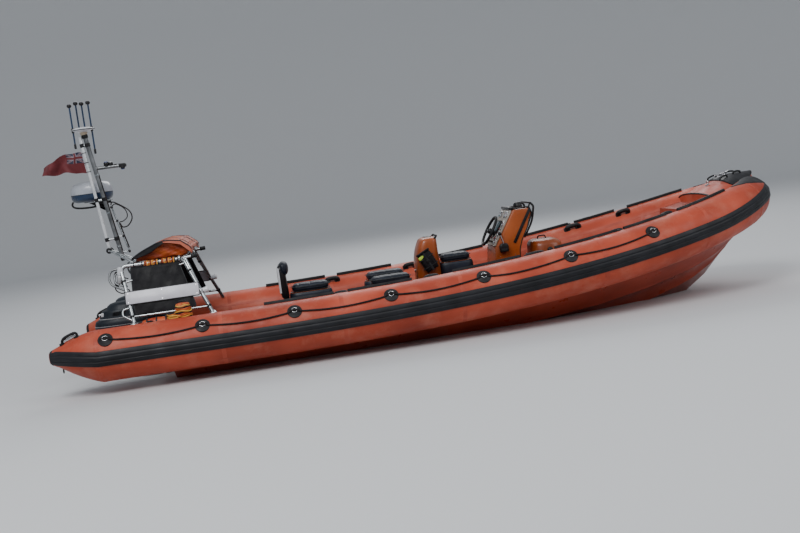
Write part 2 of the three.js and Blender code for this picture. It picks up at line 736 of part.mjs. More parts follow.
// The rail that carries the mast's cable: heights of its ends, and how far it stands off the main tube.
const cableRail = { top: 1940, foot: 1380, offTop: 48, offFoot: 96 };

function railX(z) {
  const { top, foot, offTop, offFoot } = cableRail;
  return mastX(z) + THREE.MathUtils.mapLinear(z, top, foot, offTop, offFoot);
}

// The folding mast: two tubes that converge at the head, with crosspieces between them.
function mastMain(extra = 0) {
  return bar([mastFoot.x, 0, mastFoot.z], [mastHead.x, 0, mastHead.z], mastTube + extra, 10);
}

function mastStay(extra = 0) {
  return bar([knuckle.x, 0, knuckle.z], [mastHead.x - 50, 0, mastHead.z - 40], 18 + extra, 8);
}

// Centreline of the main tube and of the stay at a height.
function mastX(z) {
  return THREE.MathUtils.mapLinear(z, mastFoot.z, mastHead.z, mastFoot.x, mastHead.x);
}

function stayX(z) {
  return THREE.MathUtils.mapLinear(z, knuckle.z, mastHead.z - 40, knuckle.x, mastHead.x - 50);
}

function mastFrame() {
  const ties = [1560, 2020, 2650].map((z) => bar([mastX(z), 0, z], [stayX(z), 0, z], 11, 6));
  const railAt = (z) => [railX(z), 0, z];
  const rail = bar(railAt(cableRail.foot), railAt(cableRail.top), 8, 8);
  const clips = [1400, 1580, 1760, cableRail.top - 20].map((z) => bar([mastX(z), 0, z], railAt(z), 11, 6));
  const eyeHalf = 54 - gap;
  const eye = bar([knuckle.x, -eyeHalf, knuckle.z], [knuckle.x, eyeHalf, knuckle.z], 24, 12);
  const shelf = join(block(-3700, -3560, -10, 420, 2004, 2016), block(-3840, -3660, 160, 420, 2004, 2016));
  const head = bar([mastHead.x, 0, mastHead.z - 20], [mastHead.x, 0, mastHead.z + 30], 40, 12, 70);
  return join(mastMain(), mastStay(), ...ties, rail, ...clips, eye, shelf, head);
}

// The radar's and lamps' cable: down the rail, out in a loop, and in again at the foot.
function mastCable() {
  const [x, z] = [railX(cableRail.top) - 1, cableRail.top + 6];
  return cordThrough([
    [x, 0, z], [x + 20, -6, z + 31], [x + 75, -12, z + 6], [x + 190, -14, z - 84],
    [x + 215, -12, z - 174], [x + 160, -10, z - 254], [x + 95, -4, z - 264],
    [railX(z - 229) + 19, 0, z - 219], [railX(1620) + 15, 0, 1620], [railX(1530) + 15, 0, 1530],
    [railX(1440) + 15, 0, 1440],
  ], 7, 36, 6);
}

function antennaPlate() {
  const z = mastHead.z + 30 + gap;
  const plate = bar([mastHead.x, 0, z], [mastHead.x, 0, z + 14], 125, 20);
  // Whips: place on the plate, and how far each reaches below and above it.
  const whips = [[-108, -30, 210, 305], [-54, 84, 0, 335], [14, 60, 0, 322], [100, -30, 290, 318]];
  const rods = whips.map(([x, y, below, above]) =>
    join(bar([mastHead.x + x, y, z + 10 - below], [mastHead.x + x, y, z + above - 20], 8, 6),
      bar([mastHead.x + x, y, z + above - 32], [mastHead.x + x, y, z + above], 20, 8)));
  return join(plate, ...rods);
}

function radarDome() {
  const z = 2016 + gap;
  const rows = [[0, 190], [30, 235], [110, 238], [180, 215], [225, 130], [235, 50]];
  return pod(290, rows.map(([rise, radius]) => [z + rise, -3759, radius, radius]), 2, 18);
}

function lightBar() {
  const z = 2375;
  const arm = cut(bar([mastX(z), 0, z], [-3285, 0, z], 12, 8), mastMain(gap));
  const lamps = [[-3500, z + 34, 36], [-3380, z + 34, 30], [-3330, z - 30, 26]].map(([x, pz, r]) =>
    bar([x, 0, pz - 26], [x, 0, pz + 26], r, 10));
  return join(arm, ...lamps);
}

function ensign() {
  const hoist = [2580, 2335].map((z) => [stayX(z), z]);
  const outline = [[-4205, 2450], [-4130, 2520], [-3950, 2578], ...hoist,
    [-3917, 2370], [-4074, 2364], [-4165, 2360]];
  return cut(across(outline, -4, 4), mastStay(gap));
}

addNode("hull", hull(), colours.orange);
addNode("cockpit_deck", cockpitDeck(), colours.deck);
addPair("collar", (side) => cut(collarTube(side)), colours.orange);
addPair("rubbing_strake", strake, colours.black);
addPair("grab_line", grabLine, colours.black);
addNode("bow_pad", bowPad(), colours.black);
addNode("bow_locker", bowLocker(), colours.ochre);
addNode("helm_console", helmConsole(), colours.ochre);
addNode("instrument_panel", instrumentPanel(), colours.black);
addNode("steering_wheel", steeringWheel(), colours.black);
addNode("console_rail", consoleRail(), colours.black);
addNode("throttle_controls", throttleControls(), colours.black);
addNode("compass", compass(), colours.black);
addNode("crew_console", crewPod(), colours.ochre);
addNode("crew_console_pouch", podPouch(), colours.black);
for (const [name, ...place] of seatPlaces) {
  addNode(`${name}_base`, seatBase(...place), colours.ochre);
  addNode(`${name}_cushion`, seatCushion(...place), colours.seat);
}
addNode("aft_seat_backrest", aftBackrest(), colours.seat);
addPair("gantry_side", gantrySide, colours.metal);
addNode("gantry_front_bar", gantryBar(-2790, gantryTopZ, frameTube), colours.metal);
addNode("gantry_rear_bar", gantryRearBar(), colours.metal);
addNode("righting_bag", rightingBag(), colours.orange);
addPair("name_board", nameBoard, colours.white);
addPair("side_bag", sideBag, colours.black);
addNode("rope_bag", ropeBag(-1), colours.yellow);
addNode("stowage_bag", stowageBag(-1), colours.orange);
addPair("clamp_bracket", clampBracket, colours.engine);
addPair("swivel_bracket", swivelBracket, colours.engine);
addPair("engine_leg", engineLeg, colours.engine);
addPair("cowl", cowl, colours.engine);
addPair("powerhead", powerhead, colours.metal);
addPair("propeller", propeller, colours.metal);
addNode("mast_frame", mastFrame(), colours.metal);
addNode("mast_cable", mastCable(), colours.black);
addNode("antenna_plate", antennaPlate(), colours.white);
addNode("radar_dome", radarDome(), colours.white);
addNode("light_bar", lightBar(), colours.black);
addNode("ensign", ensign(), colours.red);

export default boat;
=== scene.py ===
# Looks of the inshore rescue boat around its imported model.
# Metres. +X is the bow, +Y is port, and z = 0 is the waterline.
import json
from math import atan2, cos, exp, hypot, pi, radians, sin, sqrt, tan

import bmesh
import bpy
import numpy as np
from mathutils import Matrix, Vector
from mathutils.bvhtree import BVHTree

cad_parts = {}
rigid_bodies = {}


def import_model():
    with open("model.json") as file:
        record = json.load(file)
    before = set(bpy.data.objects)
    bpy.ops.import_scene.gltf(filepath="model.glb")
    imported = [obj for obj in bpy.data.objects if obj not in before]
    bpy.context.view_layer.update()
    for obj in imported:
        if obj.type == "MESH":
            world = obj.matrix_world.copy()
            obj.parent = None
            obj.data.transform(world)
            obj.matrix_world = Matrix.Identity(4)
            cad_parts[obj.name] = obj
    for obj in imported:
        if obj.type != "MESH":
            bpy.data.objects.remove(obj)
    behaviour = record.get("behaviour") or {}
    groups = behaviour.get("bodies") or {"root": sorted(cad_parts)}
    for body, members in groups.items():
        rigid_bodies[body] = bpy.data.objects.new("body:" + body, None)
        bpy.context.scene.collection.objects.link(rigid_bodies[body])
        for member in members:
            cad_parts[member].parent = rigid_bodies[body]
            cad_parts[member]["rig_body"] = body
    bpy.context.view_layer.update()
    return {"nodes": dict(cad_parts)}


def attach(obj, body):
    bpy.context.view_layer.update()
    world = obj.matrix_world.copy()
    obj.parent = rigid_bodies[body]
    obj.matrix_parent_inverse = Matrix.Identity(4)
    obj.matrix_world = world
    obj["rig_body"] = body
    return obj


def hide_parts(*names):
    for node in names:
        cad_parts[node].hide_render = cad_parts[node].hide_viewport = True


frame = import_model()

sides = (("starboard", -1), ("port", 1))
upAxis = Vector((0, 0, 1))


def linked(name, data):
    thing = bpy.data.objects.new(name, data)
    bpy.context.collection.objects.link(thing)
    return thing


# Camera of the photo

viewFrom = dict(place=(-1.631, -13.083, 1.906), yaw=5.6, pitch=4.9, roll=-7.76, focal=1124.6, width=800, sensor=36)


def makeCamera():
    yaw, pitch, roll = (radians(viewFrom[key]) for key in ("yaw", "pitch", "roll"))
    ahead = Vector((sin(yaw) * cos(pitch), cos(yaw) * cos(pitch), -sin(pitch)))
    level = Vector((cos(yaw), -sin(yaw), 0))
    upward = level.cross(ahead)
    right = level * cos(roll) + upward * sin(roll)
    top = upward * cos(roll) - level * sin(roll)
    data = bpy.data.cameras.new("photoView")
    data.sensor_width = viewFrom["sensor"]
    data.lens = viewFrom["sensor"] * viewFrom["focal"] / viewFrom["width"]
    camera = linked("photoView", data)
    turn = Matrix((right, top, -ahead)).transposed()
    camera.matrix_world = Matrix.Translation(viewFrom["place"]) @ turn.to_4x4()
    bpy.context.scene.camera = camera


makeCamera()


# Floor, backdrop and lights: one pale bowl under three soft lamps

studio = dict(flat=26, rim=9, height=16, sides=96, tone=(0.60, 0.615, 0.63), sky=0.50, skyTone=(0.92, 0.95, 1.0),
              lamps=(("keyLight", (-6, -11, 13), 8, 1750), ("fillLight", (10, -8, 9), 8, 520),
                     ("backLight", (2, 13, 11), 9, 900)))


def turns(count):
    return [2 * pi * k / count for k in range(count)]


def makeStudio():
    flat, rim, count = studio["flat"], studio["rim"], studio["sides"]
    profile = [(0.01, 0), (flat, 0)]
    for k in range(1, 17):
        angle = pi / 2 * k / 16
        profile.append((flat + rim * sin(angle), rim * (1 - cos(angle))))
    profile.append((flat + rim, studio["height"]))
    verts = [(radius * cos(a), radius * sin(a), height) for radius, height in profile for a in turns(count)]
    faces = [(i * count + j, i * count + (j + 1) % count, (i + 1) * count + (j + 1) % count, (i + 1) * count + j)
             for i in range(len(profile) - 1) for j in range(count)]
    mesh = bpy.data.meshes.new("studioBowl")
    mesh.from_pydata(verts, [], faces)
    mesh.shade_smooth()
    plain = bpy.data.materials.new("studioPaper")
    plain.use_nodes = True
    shader = plain.node_tree.nodes["Principled BSDF"]
    shader.inputs["Base Color"].default_value = (*studio["tone"], 1)
    shader.inputs["Roughness"].default_value = 0.9
    mesh.materials.append(plain)
    linked("studioBowl", mesh)
    world = bpy.data.worlds.new("softSky")
    world.use_nodes = True
    background = world.node_tree.nodes["Background"]
    background.inputs["Color"].default_value = (*studio["skyTone"], 1)
    background.inputs["Strength"].default_value = studio["sky"]
    bpy.context.scene.world = world
    for name, place, size, power in studio["lamps"]:
        data = bpy.data.lights.new(name, "AREA")
        data.size, data.energy = size, power
        lamp = linked(name, data)
        lamp.location = place
        lamp.rotation_euler = (Vector((0, 0, 0.5)) - Vector(place)).to_track_quat("-Z", "Y").to_euler()


makeStudio()
print("studio ready")


# Paths and small sums used by every piece


def mix(a, b, t):
    return a + (b - a) * t


def mm(*values):  # pairs in millimetres to pairs in metres
    return [(a / 1000, b / 1000) for a, b in zip(values[::2], values[1::2])]


def aimed(axis):
    return upAxis.rotation_difference(Vector(axis).normalized()).to_matrix()


def carried(points, closed=False):  # the two directions across a path, carried along it without a twist
    count = len(points)

    def runAt(i):
        if closed:
            return (points[(i + 1) % count] - points[i - 1]).normalized()
        return (points[min(i + 1, count - 1)] - points[max(i - 1, 0)]).normalized()

    last = runAt(0)
    helper = Vector((0, 1, 0)) if abs(last.y) < 0.9 else Vector((1, 0, 0))
    across = helper.cross(last).normalized()
    frames = []
    for i in range(count):
        run = runAt(i)
        across = last.rotation_difference(run) @ across
        across = (across - run * across.dot(run)).normalized()
        last = run
        frames.append((across, run.cross(across)))
    return frames


def rounded(points, radius, steps=5):
    points = [Vector(p) for p in points]
    path = [points[0]]
    for before, corner, after in zip(points, points[1:], points[2:]):
        back, onward = before - corner, after - corner
        reach = min(radius, back.length * 0.45, onward.length * 0.45)
        start, end = corner + back.normalized() * reach, corner + onward.normalized() * reach
        for t in (k / steps for k in range(steps + 1)):
            path.append(start * (1 - t) ** 2 + corner * 2 * t * (1 - t) + end * t * t)
    return path + [points[-1]]


def curved(points, steps=8):
    points = [Vector(p) for p in points]
    path = []
    for i in range(len(points) - 1):
        p0, p1 = points[max(i - 1, 0)], points[i]
        p2, p3 = points[i + 1], points[min(i + 2, len(points) - 1)]
        for t in (k / steps for k in range(steps)):
            path.append(0.5 * (2 * p1 + (p2 - p0) * t + (2 * p0 - 5 * p1 + 4 * p2 - p3) * t * t
                               + (3 * p1 - p0 - 3 * p2 + p3) * t ** 3))
    return path + [points[-1]]


# Shape: gathers parts of a piece as closed bodies, each with its material


class Shape:
    def __init__(self):
        self.verts, self.faces, self.looks = [], [], []

    def add(self, verts, faces, look):
        start = len(self.verts)
        self.verts += [tuple(v) for v in verts]
        self.faces += [[start + n for n in face] for face in faces]
        self.looks += [look] * len(faces)
        return self

    def loft(self, rings, look, caps=True, loop=False):
        count, length = len(rings[0]), len(rings)
        verts = [v for ring in rings for v in ring]
        faces = []
        for i in range(length if loop else length - 1):
            onward = (i + 1) % length
            for j in range(count):
                k = (j + 1) % count
                faces.append((i * count + j, i * count + k, onward * count + k, onward * count + j))
        if caps and not loop:
            for end in (0, length - 1):
                verts.append(sum((Vector(v) for v in rings[end]), Vector()) / count)
                faces += [(end * count + j, end * count + (j + 1) % count, len(verts) - 1) for j in range(count)]
        return self.add(verts, faces, look)

    def tube(self, points, radius, look, round=12, radii=None, squash=1, closed=False):
        points = [Vector(p) for p in points]
        rings = []
        for point, size, (across, rise) in zip(points, radii or [radius] * len(points), carried(points, closed)):
            rings.append([point + (across * cos(t) + rise * sin(t) * squash) * size for t in turns(round)])
        return self.loft(rings, look, loop=closed)

    def turned(self, profile, base, axis, look, round=24):
        base, turn = Vector(base), aimed(axis)
        return self.loft([[base + turn @ Vector((radius * cos(t), radius * sin(t), height)) for t in turns(round)]
                          for radius, height in profile], look)

    def ring(self, centre, axis, major, minor, look, round=28, section=8):
        centre, turn = Vector(centre), aimed(axis)
        points = [centre + turn @ Vector((major * cos(t), major * sin(t), 0)) for t in turns(round)]
        return self.tube(points, minor, look, round=section, closed=True)

    def ball(self, centre, radius, look, stretch):
        start = len(self.verts)
        profile = [(max(1e-4, radius * sin(t)), -radius * cos(t)) for t in (pi * k / 8 for k in range(9))]
        self.turned(profile, (0, 0, 0), upAxis, look, 16)
        return self.moved(lambda v: [centre[k] + v[k] * stretch[k] for k in range(3)], start)

    def bevelled(self, work, edge, look, place):
        if edge > 0:
            bmesh.ops.bevel(work, geom=work.edges[:], offset=edge, segments=2, affect="EDGES", profile=0.5)
        work.verts.index_update()
        self.add([place(v.co) for v in work.verts], [[v.index for v in face.verts] for face in work.faces], look)
        work.free()
        return self

    def box(self, low, high, look, edge=0.004, turn=None):
        size = [abs(b - a) for a, b in zip(low, high)]
        middle = Vector([(a + b) / 2 for a, b in zip(low, high)])
        work = bmesh.new()
        bmesh.ops.create_cube(work, size=1)
        for v in work.verts:
            v.co = Vector([v.co[k] * size[k] for k in range(3)])
        return self.bevelled(work, min(edge, min(size) * 0.45), look, lambda p: middle + (turn @ p if turn else p))

    def prism(self, outline, low, high, look, axis="y", edge=0.0):
        order = {"x": (2, 0, 1), "y": (0, 2, 1), "z": (0, 1, 2)}[axis]
        work = bmesh.new()
        ends = [[work.verts.new([(a, b, c)[k] for k in order]) for a, b in outline] for c in (low, high)]
        work.faces.new(ends[0])
        work.faces.new(ends[1][::-1])
        for j in range(len(outline)):
            k = (j + 1) % len(outline)
            work.faces.new((ends[0][j], ends[0][k], ends[1][k], ends[1][j]))
        return self.bevelled(work, edge, look, lambda p: p.copy())

    def moved(self, change, start=0):
        self.verts[start:] = [tuple(change(Vector(v))) for v in self.verts[start:]]
        return self

    def make(self, name, body, nodes=(), slot=None, angle=34):
        mesh = bpy.data.meshes.new(name)
        mesh.from_pydata(self.verts, [], self.faces)
        looks = sorted(set(self.looks))
        for look in looks:
            mesh.materials.append(material(look))
        for face, look in zip(mesh.polygons, self.looks):
            face.material_index = looks.index(look)
        return finished(mesh, name, body, nodes, angle)


def reworked(mesh, *changes):
    work = bmesh.new()
    work.from_mesh(mesh)
    for change in changes:
        change(work)
    work.to_mesh(mesh)
    work.free()


def welded(reach):
    return lambda work: bmesh.ops.remove_doubles(work, verts=work.verts[:], dist=reach)


def facedOut(work):
    bmesh.ops.recalc_face_normals(work, faces=work.faces[:])


def declared(piece, body, nodes):
    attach(piece, body)
    if nodes:
        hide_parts(*nodes)
    return piece


def finished(mesh, name, body, nodes=(), angle=34):
    reworked(mesh, welded(1e-6), facedOut)
    mesh.shade_smooth()
    mesh.set_sharp_from_angle(angle=radians(angle))
    return declared(linked(name, mesh), body, nodes)


def evaluated(piece):
    return bpy.data.meshes.new_from_object(piece.evaluated_get(bpy.context.evaluated_depsgraph_get()))


# Materials: one row for each finish


def finish(scale, rough, bumps, *tones, middle=0.5, **more):  # the tones are in thousandths, from dark to pale
    places = {2: (0, 1), 3: (0, middle, 1)}.get(len(tones), ())
    tones = [(place, [value / 1000 for value in tone]) for place, tone in zip(places, tones)]
    return dict(toneScale=scale, rough=rough, bumps=bumps, tones=tones, **more)


looks = dict(
    tube=finish(1.4, (0.36, 0.6), ((9, 0.16, "noise"), (900, 0.05, "weave")), (290, 34, 14), (410, 54, 22),
                (540, 86, 42), speckle=0.1, spec=0.35, stain=(0.5, (0.56, 0.2, 0.13), 3)),
    tubePatch=finish(6, (0.4, 0.55), ((900, 0.05, "weave"),), (360, 48, 22), (490, 85, 45), speckle=0.08, spec=0.35),
    hullPaint=finish(2.2, (0.25, 0.45), ((30, 0.04, "noise"),), (240, 28, 12), (380, 50, 22), speckle=0.06, coat=0.2),
    strake=finish(5, (0.38, 0.62), ((60, 0.06, "noise"), (400, 0.05, "noise")), (4, 4.5, 6), (14, 15, 19),
                  speckle=0.2, spec=0.3),
    rubber=finish(8, (0.42, 0.66), ((220, 0.08, "noise"),), (4, 4, 5), (13, 14, 16), speckle=0.2, spec=0.3),
    cord=finish(30, (0.7, 0.85), ((260, 0.35, "weave"),), (6, 5, 5), (22, 16, 16), speckle=0.3, spec=0.25),
    tread=finish(2.5, (0.7, 0.9), ((500, 0.25, "noise"),), (22, 24, 27), (48, 50, 54), speckle=0.25),
    ochre=finish(1.8, (0.26, 0.45), ((25, 0.03, "noise"), (700, 0.03, "noise")), (200, 40, 7), (320, 66, 10),
                 (420, 95, 16), speckle=0.05, coat=0.2, spec=0.4, middle=0.55),
    seat=finish(6, (0.34, 0.55), ((420, 0.18, "cells"), (18, 0.05, "noise")), (4, 7, 14), (12, 18, 32), speckle=0.15,
                spec=0.32),
    seam=finish(20, (0.5, 0.7), ((300, 0.1, "noise"),), (8, 9, 11), (22, 24, 28), spec=0.3),
    plastic=finish(9, (0.3, 0.5), ((600, 0.08, "noise"),), (4, 4, 5), (11, 11, 13), speckle=0.1, spec=0.35),
    fabric=finish(7, (0.46, 0.7), ((16, 0.35, "noise"), (700, 0.15, "weave")), (2, 2, 3), (9, 8.5, 11), speckle=0.25,
                  spec=0.2),
    alloy=finish(12, (0.16, 0.36), ((90, 0.03, "noise"),), (260, 285, 295), (500, 525, 540), metallic=1,
                 speckle=0.08),
    brightTube=finish(9, (0.22, 0.36), ((120, 0.03, "noise"),), (620, 640, 660), (840, 860, 880), metallic=0.45,
                      speckle=0.1),
    paintedTube=finish(10, (0.3, 0.5), ((90, 0.04, "noise"),), (120, 125, 130), (240, 250, 260), metallic=0.9,
                       speckle=0.1),
    airbag=finish(9, (0.4, 0.62), ((24, 0.35, "noise"), (600, 0.2, "weave")), (160, 20, 6), (360, 55, 12),
                  (550, 120, 20), speckle=0.15, spec=0.35),
    board=finish(5, (0.25, 0.42), ((40, 0.02, "noise"),), (460, 460, 510), (600, 600, 650), speckle=0.06, coat=0.2),
    white=finish(6, (0.22, 0.38), ((50, 0.02, "noise"),), (500, 520, 550), (660, 680, 710), speckle=0.05, coat=0.3),
    dome=finish(6, (0.22, 0.38), ((50, 0.02, "noise"),), (310, 330, 370), (430, 455, 500), speckle=0.05, coat=0.3),
    navy=finish(8, (0.25, 0.4), ((300, 0.03, "noise"),), (4, 16, 45), (8, 35, 90), speckle=0.05),
    cowl=finish(2.5, (0.36, 0.52), ((18, 0.03, "noise"),), (4, 8, 14), (11, 18, 28), speckle=0.06, spec=0.3),
    engine=finish(5, (0.28, 0.48), ((120, 0.06, "noise"),), (5, 9, 15), (14, 21, 31), speckle=0.12, spec=0.35),
    iron=finish(14, (0.5, 0.7), ((180, 0.2, "noise"),), (50, 50, 50), (120, 120, 120), metallic=0.7),
    steel=finish(16, (0.14, 0.3), ((140, 0.03, "noise"),), (450, 450, 460), (700, 700, 720), metallic=1),
    zinc=finish(20, (0.5, 0.7), ((120, 0.2, "noise"),), (350, 360, 370), (500, 500, 510), metallic=0.8),
    yellowRope=finish(20, (0.6, 0.8), ((260, 0.4, "weave"),), (500, 260, 30), (750, 450, 80), speckle=0.2),
    orangeBag=finish(14, (0.4, 0.6), ((30, 0.35, "noise"), (500, 0.15, "weave")), (340, 30, 10), (680, 130, 20),
                     speckle=0.15),
    lashing=finish(26, (0.6, 0.8), ((400, 0.3, "weave"),), (280, 50, 6), (520, 130, 12), (660, 300, 50),
                   speckle=0.25),
    hivis=finish(12, (0.4, 0.6), ((500, 0.1, "weave"),), (450, 650, 40), (600, 800, 100)),
    glass=finish(4, (0.04, 0.12), ((20, 0.01, "noise"),), (6, 8, 10), (12, 16, 20), coat=0.8),
    screen=finish(25, (0.06, 0.15), ((20, 0.01, "noise"),), (20, 50, 70), (40, 120, 150), coat=0.6),
    lens=finish(10, (0.08, 0.2), ((200, 0.05, "noise"),), (20, 50, 220), (40, 100, 360), coat=0.6),
    clearLens=finish(10, (0.08, 0.2), ((200, 0.05, "noise"),), (620, 640, 660), (780, 800, 820), coat=0.6),
    redLens=finish(10, (0.1, 0.2), ((200, 0.05, "noise"),), (350, 10, 10), (500, 20, 20), coat=0.6),
    beige=finish(14, (0.4, 0.6), ((120, 0.05, "noise"),), (400, 320, 220), (520, 430, 310)),
    # pale pink quilted cloth for the righting bag's top panel; its pale pink tone is a painted highlight where light
    # falls on the bag's top and front
    quilt=finish(7, (0.45, 0.65), ((40, 0.2, "noise"), (700, 0.15, "weave")), (340, 75, 40), (520, 145, 85),
                 speckle=0.12, spec=0.35),
    panelFace=finish(14, (0.35, 0.5), ((300, 0.04, "noise"),), (220, 190, 160), (360, 330, 290), speckle=0.15),
    teal=finish(14, (0.15, 0.25), ((300, 0.02, "noise"),), (10, 140, 160), (30, 260, 280), speckle=0.05),
    flag=finish(0, (0.65, 0.8), ((900, 0.2, "weave"),), tint="flagTint", speckle=0.12, sheen=0.15))
madeMaterials = {}


def material(key):
    if key not in madeMaterials:
        madeMaterials[key] = makeMaterial(key, looks[key])
    return madeMaterials[key]


class Nodes:
    def __init__(self, tree):
        self.tree = tree

    def make(self, kind, values=None, **settings):
        node = self.tree.nodes.new(kind)
        for key, value in settings.items():
            setattr(node, key, value)
        for key, value in (values or {}).items():
            self.put(value, node.inputs[key])
        return node

    def put(self, value, socket):
        if isinstance(value, bpy.types.NodeSocket):
            self.tree.links.new(value, socket)
        else:
            socket.default_value = value


def surfacePattern(n, kind, scale, coords):
    if kind == "noise":
        return n.make("ShaderNodeTexNoise", {"Vector": coords, "Scale": scale, "Detail": 4.0}).outputs["Fac"]
    if kind == "cells":
        return n.make("ShaderNodeTexVoronoi", {"Vector": coords, "Scale": scale}).outputs["Distance"]
    waves = [n.make("ShaderNodeTexWave", {"Vector": coords, "Scale": scale * 0.16, "Distortion": 0.4},
                    wave_type="BANDS", bands_direction=direction).outputs["Fac"] for direction in ("X", "Y")]
    return n.make("ShaderNodeMath", {0: waves[0], 1: waves[1]}, operation="MULTIPLY").outputs[0]


def mixed(n, share, first, second):
    node = n.make("ShaderNodeMix", {"Factor": share}, data_type="RGBA")
    for socket, value in zip([socket for socket in node.inputs if socket.type == "RGBA"], (first, second)):
        n.put(value, socket)
    return [socket for socket in node.outputs if socket.type == "RGBA"][0]


def makeMaterial(name, look):
    result = bpy.data.materials.new(name)
    result.use_nodes = True
    result.node_tree.nodes.clear()
    n = Nodes(result.node_tree)
    coords = n.make("ShaderNodeTexCoord").outputs["Object"]

    def noise(scale, detail, **more):
        return n.make("ShaderNodeTexNoise", {"Vector": coords, "Scale": scale, "Detail": detail,
                                             **more}).outputs["Fac"]

    def spread(value, **more):
        names = dict(fromLow="From Min", fromHigh="From Max", toLow="To Min", toHigh="To Max")
        values = {names[key]: number for key, number in more.items()}
        return n.make("ShaderNodeMapRange", {"Value": value, **values}).outputs["Result"]

    if "tint" in look:
        colour = n.make("ShaderNodeAttribute", attribute_name=look["tint"]).outputs["Color"]
    else:
        ramp = n.make("ShaderNodeValToRGB", {"Fac": noise(look["toneScale"], 5.0)})
        while len(ramp.color_ramp.elements) < len(look["tones"]):
            ramp.color_ramp.elements.new(0.5)
        for element, (place, tone) in zip(ramp.color_ramp.elements, look["tones"]):
            element.position = 0.3 + 0.4 * place
            element.color = (*tone, 1)
        colour = ramp.outputs["Color"]
    if "stain" in look:
        amount, tone, scale = look["stain"]
        share = spread(noise(scale, 8.0, Roughness=0.65), fromLow=0.5, fromHigh=0.75, toHigh=amount)
        colour = mixed(n, share, colour, (*tone, 1))
    if look.get("speckle"):
        grey = spread(noise(220.0, 3.0), toLow=1 - look["speckle"], toHigh=1 + look["speckle"])
        colour = n.make("ShaderNodeVectorMath", {0: colour, "Scale": grey}, operation="SCALE").outputs["Vector"]
    rough = spread(noise(7.0, 6.0), fromLow=0.3, fromHigh=0.7, toLow=look["rough"][0], toHigh=look["rough"][1])
    bump = {}
    for scale, strength, kind in look["bumps"]:
        height = surfacePattern(n, kind, float(scale), coords)
        values = {"Strength": strength, "Height": height, "Distance": min(0.02, 0.4 / scale), **bump}
        bump = {"Normal": n.make("ShaderNodeBump", values).outputs["Normal"]}
    shader = n.make("ShaderNodeBsdfPrincipled", {
        "Base Color": colour, "Roughness": rough, "Metallic": look.get("metallic", 0.0),
        "Coat Weight": look.get("coat", 0.0), "Coat Roughness": 0.12, "Sheen Weight": look.get("sheen", 0.0),
        "Specular IOR Level": look.get("spec", 0.5), **bump})
    n.make("ShaderNodeOutputMaterial", {"Surface": shader.outputs["BSDF"]})
    return result


# Softened copies of CAD pieces whose shape is kept


def bodyOf(node):
    return frame["nodes"][node]["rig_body"]


def softened(name, nodes, look, edge=0.004, limit=30):
    work = bmesh.new()
    for node in nodes:
        work.from_mesh(frame["nodes"][node].data)
    bmesh.ops.remove_doubles(work, verts=work.verts[:], dist=1e-5)
    bmesh.ops.dissolve_limit(work, angle_limit=radians(1.5), verts=work.verts[:], edges=work.edges[:])
    sharp = [e for e in work.edges if len(e.link_faces) == 2 and e.calc_face_angle(0) > radians(limit)]
    bmesh.ops.bevel(work, geom=sharp, offset=edge, segments=2, affect="EDGES", profile=0.5, clamp_overlap=True)
    bmesh.ops.triangulate(work, faces=[f for f in work.faces if len(f.verts) > 4])
    mesh = bpy.data.meshes.new(name)
    work.to_mesh(mesh)
    work.free()
    mesh.materials.clear()
    mesh.materials.append(material(look))
    return finished(mesh, name, bodyOf(nodes[0]), nodes)


# One Geometry Nodes tree that sets a small piece on each of a list of places, turned along its aim


def scatterTree():
    tree = bpy.data.node_groups.new("scatter", "GeometryNodeTree")
    face = tree.interface
    face.new_socket("Geometry", in_out="INPUT", socket_type="NodeSocketGeometry")
    for name, kind in (("Piece", "Object"), ("Scale", "Float"), ("Material", "Material")):
        face.new_socket(name, in_out="INPUT", socket_type="NodeSocket" + kind)
    face.new_socket("Geometry", in_out="OUTPUT", socket_type="NodeSocketGeometry")
    n = Nodes(tree)
    start = n.make("NodeGroupInput").outputs
    aim = n.make("GeometryNodeInputNamedAttribute", {"Name": "aim"}, data_type="FLOAT_VECTOR")
    turn = n.make("FunctionNodeAlignRotationToVector", {"Vector": aim.outputs["Attribute"]}, axis="Z")
    piece = n.make("GeometryNodeObjectInfo", {"Object": start["Piece"]})
    points = n.make("GeometryNodeMeshToPoints", {"Mesh": start["Geometry"]})
    spread = n.make("GeometryNodeInstanceOnPoints", {
        "Points": points.outputs["Points"], "Instance": piece.outputs["Geometry"],
        "Rotation": turn.outputs["Rotation"], "Scale": start["Scale"]})
    whole = n.make("GeometryNodeRealizeInstances", {"Geometry": spread.outputs["Instances"]})
    painted = n.make("GeometryNodeSetMaterial", {"Geometry": whole.outputs["Geometry"],
                                                 "Material": start["Material"]})
    n.make("NodeGroupOutput", {"Geometry": painted.outputs["Geometry"]})
    return tree


scatterNodes = scatterTree()


def scatter(name, places, small, look, body="boat", angle=40):
    mesh = bpy.data.meshes.new(name)
    mesh.from_pydata([tuple(place) for place, aim in places], [], [])
    aims = mesh.attributes.new("aim", "FLOAT_VECTOR", "POINT")
    for k, (place, aim) in enumerate(places):
        aims.data[k].vector = aim
    smallMesh = bpy.data.meshes.new(name + "Small")
    smallMesh.from_pydata(small.verts, [], small.faces)
    holder, piece = linked(name, mesh), linked(name + "Small", smallMesh)
    modifier = holder.modifiers.new("scatter", "NODES")
    modifier.node_group = scatterNodes
    sockets = {item.name: item.identifier for item in scatterNodes.interface.items_tree if item.in_out == "INPUT"}
    for key, value in (("Piece", piece), ("Scale", 1.0), ("Material", material(look))):
        modifier[sockets[key]] = value
    result = evaluated(holder)
    for spent in (holder, piece):
        bpy.data.objects.remove(spent)
    return finished(result, name, body, (), angle)


# Collar: one skin from the starboard stern cone round the bow to the port one

